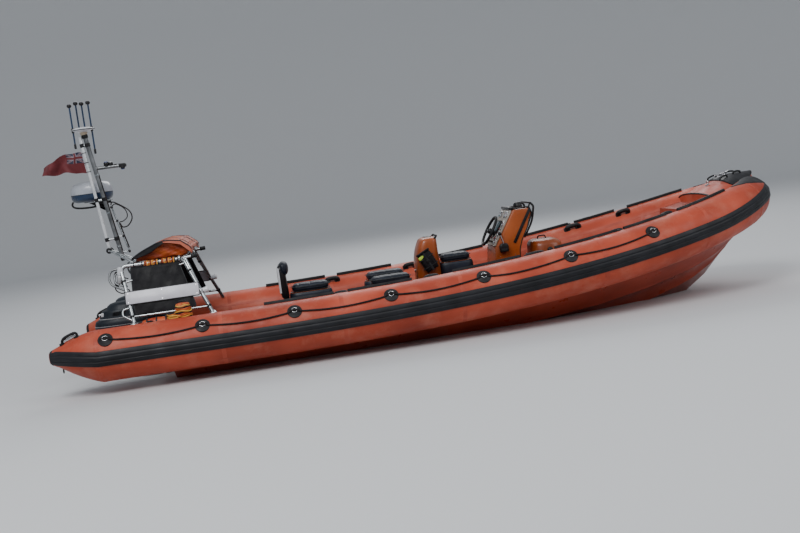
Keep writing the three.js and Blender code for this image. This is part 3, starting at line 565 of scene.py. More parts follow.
collar = dict(y=1.15, z=0.4, radius=0.275, bowRadius=0.215, bowLift=0.035, bowStart=0.8, bowEnd=3.9, rise=0.7,
              bowRun=3.9, sides=48, pucker=0.0028,
              cone=((-4.215, 0.06, 0.05), (-4.195, 0.076, 0.05), (-4.12, 0.112, 0.046),
                    (-3.96, 0.194, 0.03), (-3.8, 0.254, 0.012), (-3.7, 0.275, 0.0)),
              seams=(-3.7, -2.42, -1.14, 0.14, 1.42, 2.55, 3.62))
nose = collar["bowStart"] + collar["bowRun"]


def collarHeight(x):
    return collar["z"] + collar["rise"] * max(0.0, (x + 3) / 7.22) ** 2.9


def eased(rows, x, column):
    xs = [row[0] for row in rows]
    if x <= xs[0]:
        return rows[0][column]
    if x >= xs[-1]:
        return rows[-1][column]
    i = max(k for k in range(len(xs)) if xs[k] <= x)
    i = min(i, len(xs) - 2)

    def slope(k):
        low, high = max(0, k - 1), min(len(xs) - 1, k + 1)
        return (rows[high][column] - rows[low][column]) / (xs[high] - xs[low])
    width = xs[i + 1] - xs[i]
    t = (x - xs[i]) / width
    a, b = rows[i][column], rows[i + 1][column]
    return ((2 * t ** 3 - 3 * t * t + 1) * a + (t ** 3 - 2 * t * t + t) * width * slope(i)
            + (3 * t * t - 2 * t ** 3) * b + (t ** 3 - t * t) * width * slope(i + 1))


def collarAt(u):
    side = -1
    if u > nose:
        u, side = 2 * nose - u, 1
    if u <= collar["bowStart"]:
        x, y, radius, lift = u, collar["y"], collar["radius"], 0.0
        if u < -3.7:
            radius, lift = eased(collar["cone"], u, 1), eased(collar["cone"], u, 2)
    else:
        share = (u - collar["bowStart"]) / collar["bowRun"]
        angle = share * pi / 2
        x = collar["bowStart"] + (collar["bowEnd"] - collar["bowStart"]) * sin(angle) ** 0.88
        y = collar["y"] * max(0.0, cos(angle)) ** 0.88
        radius, lift = mix(collar["radius"], collar["bowRadius"], share ** 3), collar["bowLift"] * share ** 3
    return Vector((x, side * y, collarHeight(x) + lift)), radius


def outwardAt(u):
    run = collarAt(u + 0.01)[0] - collarAt(u - 0.01)[0]
    return Vector((run.y, -run.x, 0)).normalized()


def skinNormal(u, angle):
    return outwardAt(u) * cos(angle) + upAxis * sin(angle)


def skin(u, angle, lift=0.0):
    centre, radius = collarAt(u)
    return centre + skinNormal(u, angle) * (radius + lift)


def uFor(x, side=-1):
    low, high = -4.3, nose
    for _ in range(40):
        middle = (low + high) / 2
        if collarAt(middle)[0].x < x:
            low = middle
        else:
            high = middle
    return low if side < 0 else 2 * nose - low


def runOf(start, end, step):
    return list(np.linspace(start, end, max(2, int(abs(end - start) / step) + 1)))


def skinStrip(shape, us, section, look, centre):
    return shape.loft([[skin(u, centre(u) + offset / max(collarAt(u)[1], 0.1), lift) for offset, lift in section]
                       for u in us], look)


def girthTape(shape, u, half, lift, look):
    section = ((-1, -0.002), (-1, lift * 0.7), (-0.8, lift), (0.8, lift), (1, lift * 0.7), (1, -0.002))
    return shape.loft([[skin(u + half * reach, angle, rise) for reach, rise in section] for angle in turns(56)], look,
                      loop=True)


def squircle(power, angle):
    c, s = cos(angle), sin(angle)
    bulge = (abs(c) ** power + abs(s) ** power) ** (-1 / power)
    return c * bulge, s * bulge


def patch(shape, u, angle, halfU, halfArc, lift, look):
    radius = collarAt(u)[1]
    rings = []
    for share, rise in ((1, -0.002), (1, lift * 0.6), (0.96, lift), (0.5, lift), (0.02, lift)):
        corners = [squircle(5, turn) for turn in turns(28)]
        rings.append([skin(u + halfU * share * c, angle + halfArc * share * s / radius, rise) for c, s in corners])
    return shape.loft(rings, look)


def makeCollar():
    shape = Shape()
    us = runOf(-4.215, -3.7, 0.035) + runOf(-3.6, 0.8, 0.1) + runOf(0.86, nose, 0.055)
    us += [2 * nose - u for u in reversed(us[:-1])]
    rings = []
    for u in us:
        own = u if u <= nose else 2 * nose - u
        wave = collar["pucker"] * exp(-(min(abs(own - seam) for seam in collar["seams"]) / 0.09) ** 2)
        rings.append([skin(u, t, wave * sin(13 * t + 3 * own)) for t in turns(collar["sides"])])
    shape.loft(rings, "tube")
    for seam in collar["seams"]:
        for u in (seam, 2 * nose - seam):
            girthTape(shape, u, 0.022, 0.0016, "tubePatch")
    for start, end in ((-3.66, 4.3), (2 * nose - 4.3, 2 * nose + 3.66)):
        skinStrip(shape, runOf(start, end, 0.12), mm(-16, -2, -16, 1.3, 16, 1.3, 16, -2),
                  "tubePatch", lambda u: radians(152))
    shape.make("collarSkin", "boat", ("collar_starboard", "collar_port"), "tube_fabric", 60)


makeCollar()


def strakeAngle(u):
    return 0.4 * max(0.0, (collarAt(u)[0].x - 3) / 0.9) ** 2


def makeStrakes():
    shape = Shape()
    half = mm(8, 17, 22, 13, 29, 7, 34, 11, 70, 11, 78, 6, 78, -3)
    section = [(-reach, lift) for reach, lift in reversed(half)] + half
    us = runOf(-4.205, -3.7, 0.06) + runOf(-3.6, 0.8, 0.15) + runOf(0.9, nose, 0.06)
    us += [2 * nose - u for u in reversed(us[:-1])]
    skinStrip(shape, us, section, "strake", strakeAngle)
    base = collarAt(-4.19)[0]
    profile = mm(4, 30, 40, 28, 66, 20, 78, 6, 84, -12, 86.5, -35, 94, -38, 100, -60, 96, -64, 60, -50)
    for side in (-1, 1):
        shape.turned(profile, (base.x, side * base.y, base.z), (-1, 0, 0), "strake", round=32)
    shape.tube([skin(-4.1, -pi / 2, lift) for lift in (-0.006, 0.03, 0.048)], 0.009, "rubber",
               radii=[0.007, 0.0095, 0.006])
    shape.make("rubbingStrake", "boat", ("rubbing_strake_starboard", "rubbing_strake_port"), "black_rubber", 40)


makeStrakes()

grab = dict(places=(-3.598, -2.601, -1.64, -0.613, 0.391, 1.348, 2.28), angle=radians(42), droop=0.16, rope=0.009)


def grabDisc(shape, metal, u, angle):
    centre, normal = skin(u, angle), skinNormal(u, angle)
    profile = mm(78, -12, 78, 3, 72, 6, 55, 7, 50, 11, 34, 14, 10, 16, 2, 16)
    shape.turned(profile, centre, normal, "rubber", round=32)
    along = (skin(u + 0.05, angle) - skin(u - 0.05, angle)).normalized()
    across = normal.cross(along)
    for reach in (-1, 1):
        points = [centre + along * 0.055 * reach * k + normal * (0.006 + 0.018 * sin(pi * min(1, 1 - abs(k) + 0.2)))
                  for k in (1.0, 0.6, 0.2)]
        shape.tube(points, 0.013, "cord", round=8, squash=0.3)
    loop = []
    for t in turns(17):
        reach = 0.031 if sin(t) > -0.2 else 0.026
        loop.append(centre + along * reach * cos(t) + across * (reach * sin(t)) + normal * 0.021)
    metal.tube(loop, 0.0042, "steel", round=8, closed=True)


def makeGrabLines(word, side):
    shape, metal = Shape(), Shape()
    route = []
    places = [uFor(x, side) for x in grab["places"]]
    for k, u in enumerate(places):
        grabDisc(shape, metal, u, grab["angle"])
        route.append(skin(u, grab["angle"], 0.026))
        if k + 1 == len(places):
            continue
        for share in np.linspace(0.08, 0.92, 9):
            droop = grab["droop"] * sin(pi * share) ** 0.8
            route.append(skin(mix(u, places[k + 1], share), grab["angle"] - droop, 0.0115))
    shape.tube(curved(route, 3), grab["rope"], "cord", round=10)
    shape.make("grabLine_" + word, "boat", ("grab_line_" + word,), "lifeline", 45)
    metal.make("grabRings_" + word, "boat", slot="lifeline", angle=60)


for word, side in sides:
    makeGrabLines(word, side)
print("collar ready")

# Black webbing strips along the collar's inner top edge, with T handles, and the valve patches

inner = dict(strips=((-1.95, -1.2), (-1.05, -0.35), (0.1, 0.85), (1.25, 1.98), (2.06, 2.58), (2.74, 3.4)),
             handles=(-1.12, -0.12, 1.05, 2.02, 2.68), angle=radians(97), width=0.022, high=0.03,
             valves=(-3.15, -1.9, -0.6, 0.7, 1.99, 2.86))


def makeInnerTrim(word, side):
    shape, metal = Shape(), Shape()
    section = [(-inner["width"], -0.002), (-inner["width"], 0.005), (-0.013, inner["high"]), (0.013, inner["high"]),
               (inner["width"], 0.005), (inner["width"], -0.002)]
    for start, end in inner["strips"]:
        a, b = uFor(start, side), uFor(end, side)
        skinStrip(shape, runOf(a, b, 0.06), section, "rubber", lambda u: inner["angle"])
    for x in inner["handles"]:
        u, angle = uFor(x, side), inner["angle"] + 0.42
        for reach in (-0.062, 0.062):
            patch(shape, u + reach, angle + 0.05, 0.036, 0.042, 0.005, "rubber")
        grip = [skin(u + reach, angle + 0.08, lift) for reach, lift in
                ((-0.07, 0.004), (-0.064, 0.03), (-0.03, 0.042), (0.03, 0.042), (0.064, 0.03), (0.07, 0.004))]
        shape.tube(curved(grip, 3), 0.026, "rubber")
    for x in inner["valves"]:
        u, angle = uFor(x, side), radians(96)
        shape.turned(mm(36, -6, 36, 4, 30, 8, 26, 8, 24, 14, 10, 17, 2, 17), skin(u, angle), skinNormal(u, angle),
                     "rubber", round=20)
    u = uFor(-3.985, side)
    a, b = skin(u - 0.078, radians(82)), skin(u + 0.078, radians(82))
    rise = skinNormal(u, radians(82))
    loop = [a, a + rise * 0.032, a.lerp(b, 0.2) + rise * 0.054, a.lerp(b, 0.8) + rise * 0.054, b + rise * 0.032, b]
    shape.tube(curved(loop, 5), 0.015, "rubber", round=10)
    metal.tube([a.lerp(b, 0.12) + rise * 0.018, a.lerp(b, 0.88) + rise * 0.018], 0.019, "steel", squash=0.7)
    for place in (a, b):
        shape.turned(mm(36, -12, 36, 4, 24, 10, 2, 11), place, rise, "rubber", round=20)
    shape.make("innerTrim_" + word, "boat", slot="black_rubber", angle=45)
    metal.make("coneHandleBar_" + word, "boat", slot="frame_alloy", angle=50)


for word, side in sides:
    makeInnerTrim(word, side)


# Bow pad with its nose patch, cleat and lifting handles

pad = dict(rows=((3.3, 0.63, 0.0), (3.5, 0.53, 0.05), (3.69, 0.41, 0.064), (3.86, 0.27, 0.03), (3.985, 0.12, 0.0)),
           crown=0.245, deep=0.08, blackAt=3.79, blackLong=0.225, blackWide=0.99, nose=1.3,
           section=((-1, -0.06, 0), (-0.8, -0.012, 0.4), (-0.45, 0.014, 0.9), (0, 0.022, 1), (0.45, 0.014, 0.9),
                    (0.8, -0.012, 0.4), (1, -0.06, 0)))


def padTop(x, share):
    half, rise = eased(pad["rows"], x, 1), eased(pad["rows"], x, 2)
    lift = eased(pad["section"], share, 1) + eased(pad["section"], share, 2) * rise
    return Vector((x, share * half, collarHeight(x) + pad["crown"] + lift))


def makeBowPad():
    cover, shape = Shape(), Shape()
    rings = []
    for x in np.linspace(3.3, 3.985, 30):
        low = collarHeight(x) + pad["crown"] - pad["deep"] - 0.02
        half = eased(pad["rows"], x, 1)
        ring = [padTop(x, share) for share in np.linspace(-1, 1, 33)]
        ring += [Vector((x, half * share, low)) for share in (0.97, 0.5, 0, -0.5, -0.97)]
        rings.append(ring)
    cover.loft(rings, "tube")
    cover.make("bowCover", "boat", slot="tube_fabric", angle=50)
    rings = []
    for size, lift in ((1.0, -0.004), (1.0, 0.012), (0.97, 0.019), (0.85, 0.023), (0.5, 0.026), (0.02, 0.027)):
        rings.append([padTop(pad["blackAt"] + pad["blackLong"] * size * c, pad["blackWide"] * size * s)
                      + upAxis * lift for c, s in (squircle(3, t) for t in turns(44))])
    shape.loft(rings, "strake")
    rings = []
    for u in runOf(nose - pad["nose"], nose + pad["nose"], 0.05):
        share = abs(u - nose) / pad["nose"]
        low, high = 0.54 + 1.1 * share ** 2.2, radians(124 - 24 * share)
        ring = [skin(u, mix(low, high, k / 14), 0.006 if 0 < k < 14 else -0.001) for k in range(15)]
        rings.append(ring + [skin(u, mix(high, low, k / 6), -0.008) for k in range(7)])
    shape.loft(rings, "strake")
    edge = [padTop(3.302, share) + upAxis * 0.002 for share in np.linspace(-0.99, 0.99, 24)]
    shape.tube(edge, 0.01, "strake", round=10)
    for side in (-1, 1):
        shape.tube([padTop(x, side * 0.99) + upAxis * 0.003 for x in np.linspace(3.302, 3.9, 20)], 0.01, "strake",
                   round=10)
    for x, share in ((3.6, -0.38), (3.6, 0.38), (3.8, -0.32), (3.8, 0.32)):
        points = [padTop(x + dx, share) + upAxis * (dz + 0.022) for dx, dz in
                  ((-0.05, -0.004), (-0.044, 0.02), (0, 0.028), (0.044, 0.02), (0.05, -0.004))]
        shape.tube(curved(points, 4), 0.011, "rubber", round=10)
    shape.make("bowPad", "boat", ("bow_pad",), "black_rubber", 38)
    metal = Shape()
    for x in (3.62, 3.69):
        metal.turned(mm(30, -12, 30, 4, 13, 10, 11, 30, 15, 36, 2, 38),
                     padTop(x, 0) + upAxis * 0.022, (0, 0, 1), "steel", round=18)
    a, b = padTop(3.565, 0) + upAxis * 0.056, padTop(3.745, 0) + upAxis * 0.056
    horn = ((0, 0.008), (0.06, 0.004), (0.3, 0), (0.7, 0), (0.94, 0.004), (1, 0.008))
    metal.tube([mix(a, b, t) + upAxis * rise for t, rise in horn], 0.011, "steel",
               radii=[0.004, 0.009, 0.011, 0.011, 0.009, 0.004])
    metal.ring(padTop(3.47, 0) + upAxis * 0.03, (1, 0, 0.3), 0.026, 0.006, "steel")
    metal.turned(mm(30, -14, 30, 4, 12, 10, 2, 12), padTop(3.47, 0), (0, 0, 1), "steel", round=18)
    metal.make("bowCleat", "boat", slot="frame_alloy", angle=50)


makeBowPad()
print("bow ready")


# Cloth: a closed pad swells under pressure, each point held within a cap


def puffed(name, rough, cap, voxel=0.006):
    mesh = bpy.data.meshes.new(name + "Rough")
    mesh.from_pydata(rough.verts, [], rough.faces)
    reworked(mesh, welded(1e-5), facedOut)
    pad = linked(name + "Rough", mesh)
    remesh = pad.modifiers.new("even", "REMESH")
    remesh.mode = "VOXEL"
    remesh.voxel_size = voxel
    even = evaluated(pad)
    pad.modifiers.clear()
    pad.data = even
    start = placesOf(even)
    cloth = pad.modifiers.new("swell", "CLOTH")
    settings = cloth.settings
    settings.quality = 5
    settings.mass = 0.35
    settings.tension_stiffness = settings.compression_stiffness = 12
    settings.bending_stiffness = 0.6
    settings.use_pressure = True
    settings.uniform_pressure_force = 4.0
    settings.effector_weights.gravity = 0
    cloth.point_cache.frame_start, cloth.point_cache.frame_end = 1, 20
    scene = bpy.context.scene
    for frameNumber in range(1, 21):
        scene.frame_set(frameNumber)
    swollen = evaluated(pad)
    pad.modifiers.clear()
    scene.frame_set(1)
    move = placesOf(swollen) - start
    share = np.minimum(1, cap / np.maximum(np.linalg.norm(move, axis=1), 1e-9))
    even.vertices.foreach_set("co", (start + move * share[:, None]).ravel())
    bpy.data.meshes.remove(swollen)
    bpy.data.objects.remove(pad)
    return even


def placesOf(mesh):
    return np.array([v.co[:] for v in mesh.vertices])


def softPiece(name, mesh, look, nodes, smoothing=1):
    smooth = dict(factor=0.5, use_axis_x=True, use_axis_y=True, use_axis_z=True)
    reworked(mesh, *[lambda work: bmesh.ops.smooth_vert(work, verts=work.verts[:], **smooth)] * smoothing)
    mesh.materials.clear()
    mesh.materials.append(material(look))
    piece = linked(name, mesh)
    finer = piece.modifiers.new("smooth", "SUBSURF")
    finer.levels = finer.render_levels = 1
    fine = evaluated(piece)
    piece.modifiers.clear()
    piece.data = fine
    fine.shade_smooth()
    declared(piece, "boat", nodes)
    return piece


def roundRing(x, y, z, halfLength, halfWidth, power=3.0, count=40):
    corners = [squircle(power, 2 * pi * (j + 0.5) / count) for j in range(count)]
    return [Vector((x + halfLength * c, y + halfWidth * s, z)) for c, s in corners]


def podRings(y, rows, power=3.0, count=40, steps=4):
    heights = [mix(a[0], b[0], k / steps) for a, b in zip(rows, rows[1:]) for k in range(steps)] + [rows[-1][0]]
    return [roundRing(eased(rows, z, 1), y, z, eased(rows, z, 2), eased(rows, z, 3), power, count) for z in heights]


def screwPiece(radius=0.005, height=0.003):
    return Shape().turned([(radius, -0.002), (radius, height * 0.5), (radius * 0.75, height), (radius * 0.3, height),
                           (radius * 0.22, height * 0.45), (0.0004, height * 0.45)], (0, 0, 0), upAxis, "steel",
                          round=10)


floorZ = 0.2323

# Helm console: moulded body with a leaning dash

helm = dict(half=0.27, lowX=0.755, lowZ=0.85, topZ=1.27, lean=radians(32),
            outline=((0.74, floorZ), (0.74, 0.7), (0.755, 0.85), (1.0174, 1.27), (1.21, 1.27), (1.226, 1.2),
                     (1.16, 1.065), (1.066, 0.905), (1.03, 0.8), (1.02, floorZ)))
helm["topX"] = helm["lowX"] + 0.42 * tan(helm["lean"])
dashUp = Vector((sin(helm["lean"]), 0, cos(helm["lean"])))
dashOut = Vector((-cos(helm["lean"]), 0, sin(helm["lean"])))
dashMiddle = Vector(((helm["lowX"] + helm["topX"]) / 2, 0, (helm["lowZ"] + helm["topZ"]) / 2))


def dashPoint(y, up, out=0.0):
    return dashMiddle + dashUp * up + dashOut * out + Vector((0, y, 0))


def makeConsole():
    shape = Shape()
    shape.prism(helm["outline"], -helm["half"], helm["half"], "ochre", edge=0.022)
    shape.make("consoleBody", "boat", ("helm_console",), "moulded_ochre", 40)
    trim = Shape()
    for side in (-1, 1):
        y = side * 0.263
        edge = [(x, y, z) for x, z in mm(1018, 1278, 1205, 1278, 1232, 1200, 1168, 1062, 1075, 902, 1040, 800,
                                         1031, 620)]
        trim.tube(rounded(edge, 0.03), 0.0095, "rubber", round=10)
        start = len(trim.verts)
        trim.box((-0.215, -0.017, 0), (0.215, 0.017, 0.012), "rubber", edge=0.005)
        way = Vector((0.225, 0, 0.367)).normalized()
        wide = Vector((way.z, 0, -way.x))
        trim.moved(lambda v: Vector((1.098, side * (0.268 + v.z), 1.068)) + way * v.x + wide * v.y, start)
    trim.prism([(0.725, floorZ), (0.725, floorZ + 0.05), (0.735, floorZ + 0.06), (1.028, floorZ + 0.06),
                (1.036, floorZ + 0.05), (1.036, floorZ)], -0.285, 0.285, "rubber", edge=0.008)
    hood = mm(985, 1262, 972, 1288, 985, 1302, 1030, 1298, 1055, 1280, 1055, 1262)
    trim.prism(hood, -0.235, 0.235, "plastic", edge=0.009)
    trim.make("consoleTrim", "boat", slot="instrument_black", angle=40)
    fittings = Shape()
    for y in (-0.13, 0.13):
        fittings.box((1.022, y - 0.09, 0.36), (1.04, y + 0.09, 0.7), "plastic", edge=0.008)
        fittings.box((1.038, y - 0.012, 0.5), (1.052, y + 0.012, 0.56), "plastic", edge=0.005)
    for side in (-1, 1):
        y = side * 0.2725
        fittings.box((0.8, y - 0.006, 0.36), (0.98, y + 0.006, 0.62), "plastic", edge=0.005)
        handle = [(0.865, y, 0.58), (0.865, y + side * 0.028, 0.575), (0.915, y + side * 0.028, 0.575),
                  (0.915, y, 0.58)]
        fittings.tube(rounded(handle, 0.012), 0.006, "steel", round=8)
    fittings.make("consoleHatches", "boat", slot="instrument_black", angle=40)
    screws = []
    for side in (-1, 1):
        for x, z in ((0.815, 0.375), (0.965, 0.375), (0.815, 0.605), (0.965, 0.605), (0.8, 0.75), (0.98, 0.75)):
            screws.append(((x, side * (0.2785 if z < 0.7 else 0.2705), z), (0, side, 0)))
    for y in (-0.245, -0.12, 0.0, 0.12, 0.245):
        for up in (-0.222, 0.222):
            screws.append((dashPoint(y, up, 0.025), dashOut))
    scatter("consoleScrews", screws, screwPiece(), "steel")


makeConsole()

# Instrument panel: three rows of dials, switches and a chart screen, no figures on them

dials = dict(rows=((0.165, ((-0.19, 0.036, "clearLens"), (-0.1, 0.036, "glass"), (0.1, 0.036, "glass"),
                            (0.19, 0.036, "teal"))),
                   (0.05, ((-0.2, 0.032, "glass"), (0.2, 0.032, "glass"))),
                   (-0.075, ((-0.2, 0.032, "teal"), (0.2, 0.032, "glass"))),
                   (-0.175, ((-0.2, 0.03, "glass"), (0.2, 0.03, "glass")))))


def makePanel():
    shape = Shape()
    start = len(shape.verts)
    shape.box((-0.227, -0.25, 0.0003), (0.227, 0.25, 0.0243), "panelFace", edge=0.01)
    shape.moved(lambda v: dashPoint(v.y, v.x, v.z), start)

    def at(y, up, out):
        return dashPoint(y, up, 0.0243 + out)
    for up, row in dials["rows"]:
        for y, radius, face in row:
            shape.turned([(radius + 0.007, -0.004), (radius + 0.007, 0.007), (radius, 0.011), (radius - 0.001, 0.005),
                          (0.001, 0.005)], at(y, up, 0), dashOut, "steel", round=32)
            shape.turned([(radius - 0.002, 0.004), (radius - 0.004, 0.0065), (0.001, 0.0065)], at(y, up, 0), dashOut,
                         face, round=32)
            for k in range(9):
                turn = radians(225 - 270 * k / 8)
                a = at(y + cos(turn) * radius * 0.72, up + sin(turn) * radius * 0.72, 0.0068)
                b = at(y + cos(turn) * radius * 0.86, up + sin(turn) * radius * 0.86, 0.0068)
                shape.tube([a, b], 0.0009, "plastic" if face == "clearLens" else "clearLens", round=6)
            needle = [at(y, up, 0.008), at(y + radius * 0.55, up + radius * 0.35, 0.008)]
            shape.tube(needle, 0.0013, "redLens", round=6)
            shape.turned(mm(5, 5, 4, 10, 1, 11), at(y, up, 0), dashOut, "plastic", round=12)
    start = len(shape.verts)
    shape.box((-0.075, -0.115, 0.0), (0.085, 0.115, 0.018), "plastic", edge=0.01)
    shape.box((-0.05, -0.092, 0.014), (0.068, 0.092, 0.0205), "screen")
    shape.moved(lambda v: at(v.y, v.x, v.z), start)
    for k in range(5):
        start = len(shape.verts)
        shape.box((-0.007, -0.012, 0.017), (0.007, 0.012, 0.022), "seam", edge=0.003)
        shape.moved(lambda v, k=k: at(v.y - 0.08 + 0.04 * k, v.x - 0.062, v.z), start)
    for k in range(8):
        if k in (3, 4):
            continue
        y = -0.2 + 0.4 * k / 7
        for up in (-0.0125, -0.125) if abs(y) > 0.13 else (-0.135,):
            start = len(shape.verts)
            shape.box((-0.016, -0.011, -0.001), (0.016, 0.011, 0.006), "seam", edge=0.003)
            shape.box((-0.011, -0.007, 0.004), (0.011, 0.007, 0.01), "redLens" if k % 3 else "clearLens",
                      edge=0.003, turn=Matrix.Rotation(radians(8), 3, "Y"))
            shape.moved(lambda v, y=y, up=up: at(v.y, v.x + up, v.z) + Vector((0, y, 0)), start)
    for y in (-0.06, 0.06):
        shape.turned(mm(13, -2, 13, 6, 9, 10, 9, 20, 6, 22, 1, 22), at(y, -0.185, 0), dashOut, "rubber", round=16)
    shape.make("instrumentFace", "boat", ("instrument_panel",), "instrument_black", 40)


makePanel()


# Steering wheel with a padded rim and three spokes

wheel = dict(centre=Vector((0.76, 0, 1.045)), radius=0.175, rim=0.0165, tilt=radians(32))


def makeWheel():
    shape = Shape()
    normal = Vector((cos(wheel["tilt"]), 0, -sin(wheel["tilt"])))
    turn = aimed(normal)
    across, rise = turn @ Vector((1, 0, 0)), turn @ Vector((0, 1, 0))
    centre = wheel["centre"]

    def at(angle, radius, out=0.0):
        return centre + (across * cos(angle) + rise * sin(angle)) * radius + normal * out
    rings = []
    for angle in turns(72):
        swell = 1 + 0.07 * cos(angle * 24)
        rings.append([at(angle, wheel["radius"] + wheel["rim"] * swell * cos(t), wheel["rim"] * swell * sin(t))
                      for t in turns(12)])
    shape.loft(rings, "rubber", loop=True)
    for k in range(3):
        angle = pi / 2 + k * 2 * pi / 3
        points = [at(angle, radius, out) for radius, out in mm(20, 22, 60, 21, 120, 10, 168, 0)]
        shape.tube(curved(points, 4), 0.0125, "steel", round=10, squash=0.45)
    hub = mm(12, -21, 26, -18, 34, -8, 36, 20, 30, 60, 20, 64, 16.5, 70, 16.5, 92, 2, 92)
    shape.turned(hub, centre, normal, "plastic", round=28)
    shaftEnd = (dashPoint(0, 0, 0.0248) - centre).dot(-dashOut)
    shape.turned([(0.016, 0.06), (0.016, shaftEnd - 0.0006), (0.002, shaftEnd - 0.0006)], centre, normal, "steel",
                 round=16)
    shape.make("helmWheel", "helm_wheel", ("steering_wheel",), "instrument_black", 50)
    collarShape = Shape()
    face = centre + normal * shaftEnd
    collarShape.turned(mm(46, -1, 44, 10, 30, 16, 18.5, 18, 18.5, 4, 30, 2), face, -normal, "plastic", round=28)
    collarShape.make("wheelBoss", "boat", slot="instrument_black", angle=50)


makeWheel()


# Console rail, throttle box and compass


def makeConsoleFittings():
    rail = Shape()
    sideRoute = mm(1125, 935, 1232, 1110, 1268, 1280, 1230, 1322)
    route = [Vector((x, -0.24, z)) for x, z in sideRoute] + [Vector((x, 0.24, z)) for x, z in reversed(sideRoute)]
    rail.tube(rounded(route, 0.07, 7), 0.0122, "plastic", round=14)
    for y in (-0.24, 0.24):
        rail.tube([(1.07, y, 0.952), (1.125, y, 0.935)], 0.0095, "plastic")
        rail.turned(mm(24, -2, 22, 6, 11, 10, 2, 10), (1.095, y, 0.945), (0.9, 0, -0.4), "plastic", round=18)
        rail.tube([(1.205, y, 1.27), (1.228, y, 1.318)], 0.0095, "plastic")
        rail.turned(mm(22, -4, 20, 6, 11, 10, 2, 10), (1.204, y, 1.27), (0.2, 0, 1), "plastic", round=18)
    rail.make("consoleRail", "boat", ("console_rail",), "instrument_black", 50)
    throttle = Shape()
    throttle.prism(mm(800, 800, 796, 872, 822, 900, 888, 898, 902, 870, 900, 800),
                   -0.3323, -0.2703, "plastic", edge=0.01)
    for y in (-0.2883, -0.3143):
        throttle.turned(mm(13, -4, 13, 4, 2, 4), (0.85, y, 0.88), (0, 1, 0), "steel", round=18)
        throttle.tube([(0.851, y, 0.885), (0.842, y, 0.93), (0.824, y, 1.005)], 0.0078, "steel")
        throttle.turned(mm(9, -20, 15, -14, 17.5, 0, 16, 12, 9, 20, 1, 22),
                        (0.82, y, 1.014), (-0.22, 0, 0.97), "rubber", round=20)
    throttle.box((0.812, -0.334, 0.812), (0.888, -0.331, 0.842), "seam", edge=0.001)
    throttle.make("throttleBox", "boat", ("throttle_controls",), "instrument_black", 45)
    x, z = helm["topX"] + 0.118, 1.2703
    card = Shape()
    rows = ((0, 0, 0.046, 0.061), (0.01, 0, 0.05, 0.064), (0.024, 0, 0.05, 0.064), (0.03, 0.001, 0.047, 0.061),
            (0.05, 0.004, 0.045, 0.057), (0.063, 0.005, 0.036, 0.046), (0.07, 0.006, 0.02, 0.026))
    card.loft([roundRing(x - aft, 0, z + up, length, width, 2.4, 36) for up, aft, length, width in rows], "plastic")
    card.ball((x - 0.03, 0, z + 0.04), 0.034, "glass", stretch=(0.75, 1, 0.75))
    card.make("compassHood", "boat", ("compass",), "instrument_black", 50)


makeConsoleFittings()
print("helm ready")


# Seats: moulded bases with sewn straddle cushions

seatPlaces = (("helm_seat", 0.0, 0.11, 0.5, 0.16, 0.76), ("crew_seat_starboard", -0.34, -0.76, -0.26, 0.15, 0.64),
              ("crew_seat_port", 0.34, -0.76, -0.26, 0.15, 0.64), ("aft_seat", 0.0, -1.66, -1.18, 0.16, 0.66))


def camel(name):
    first, *rest = name.split("_")
    return first + "".join(word.capitalize() for word in rest)


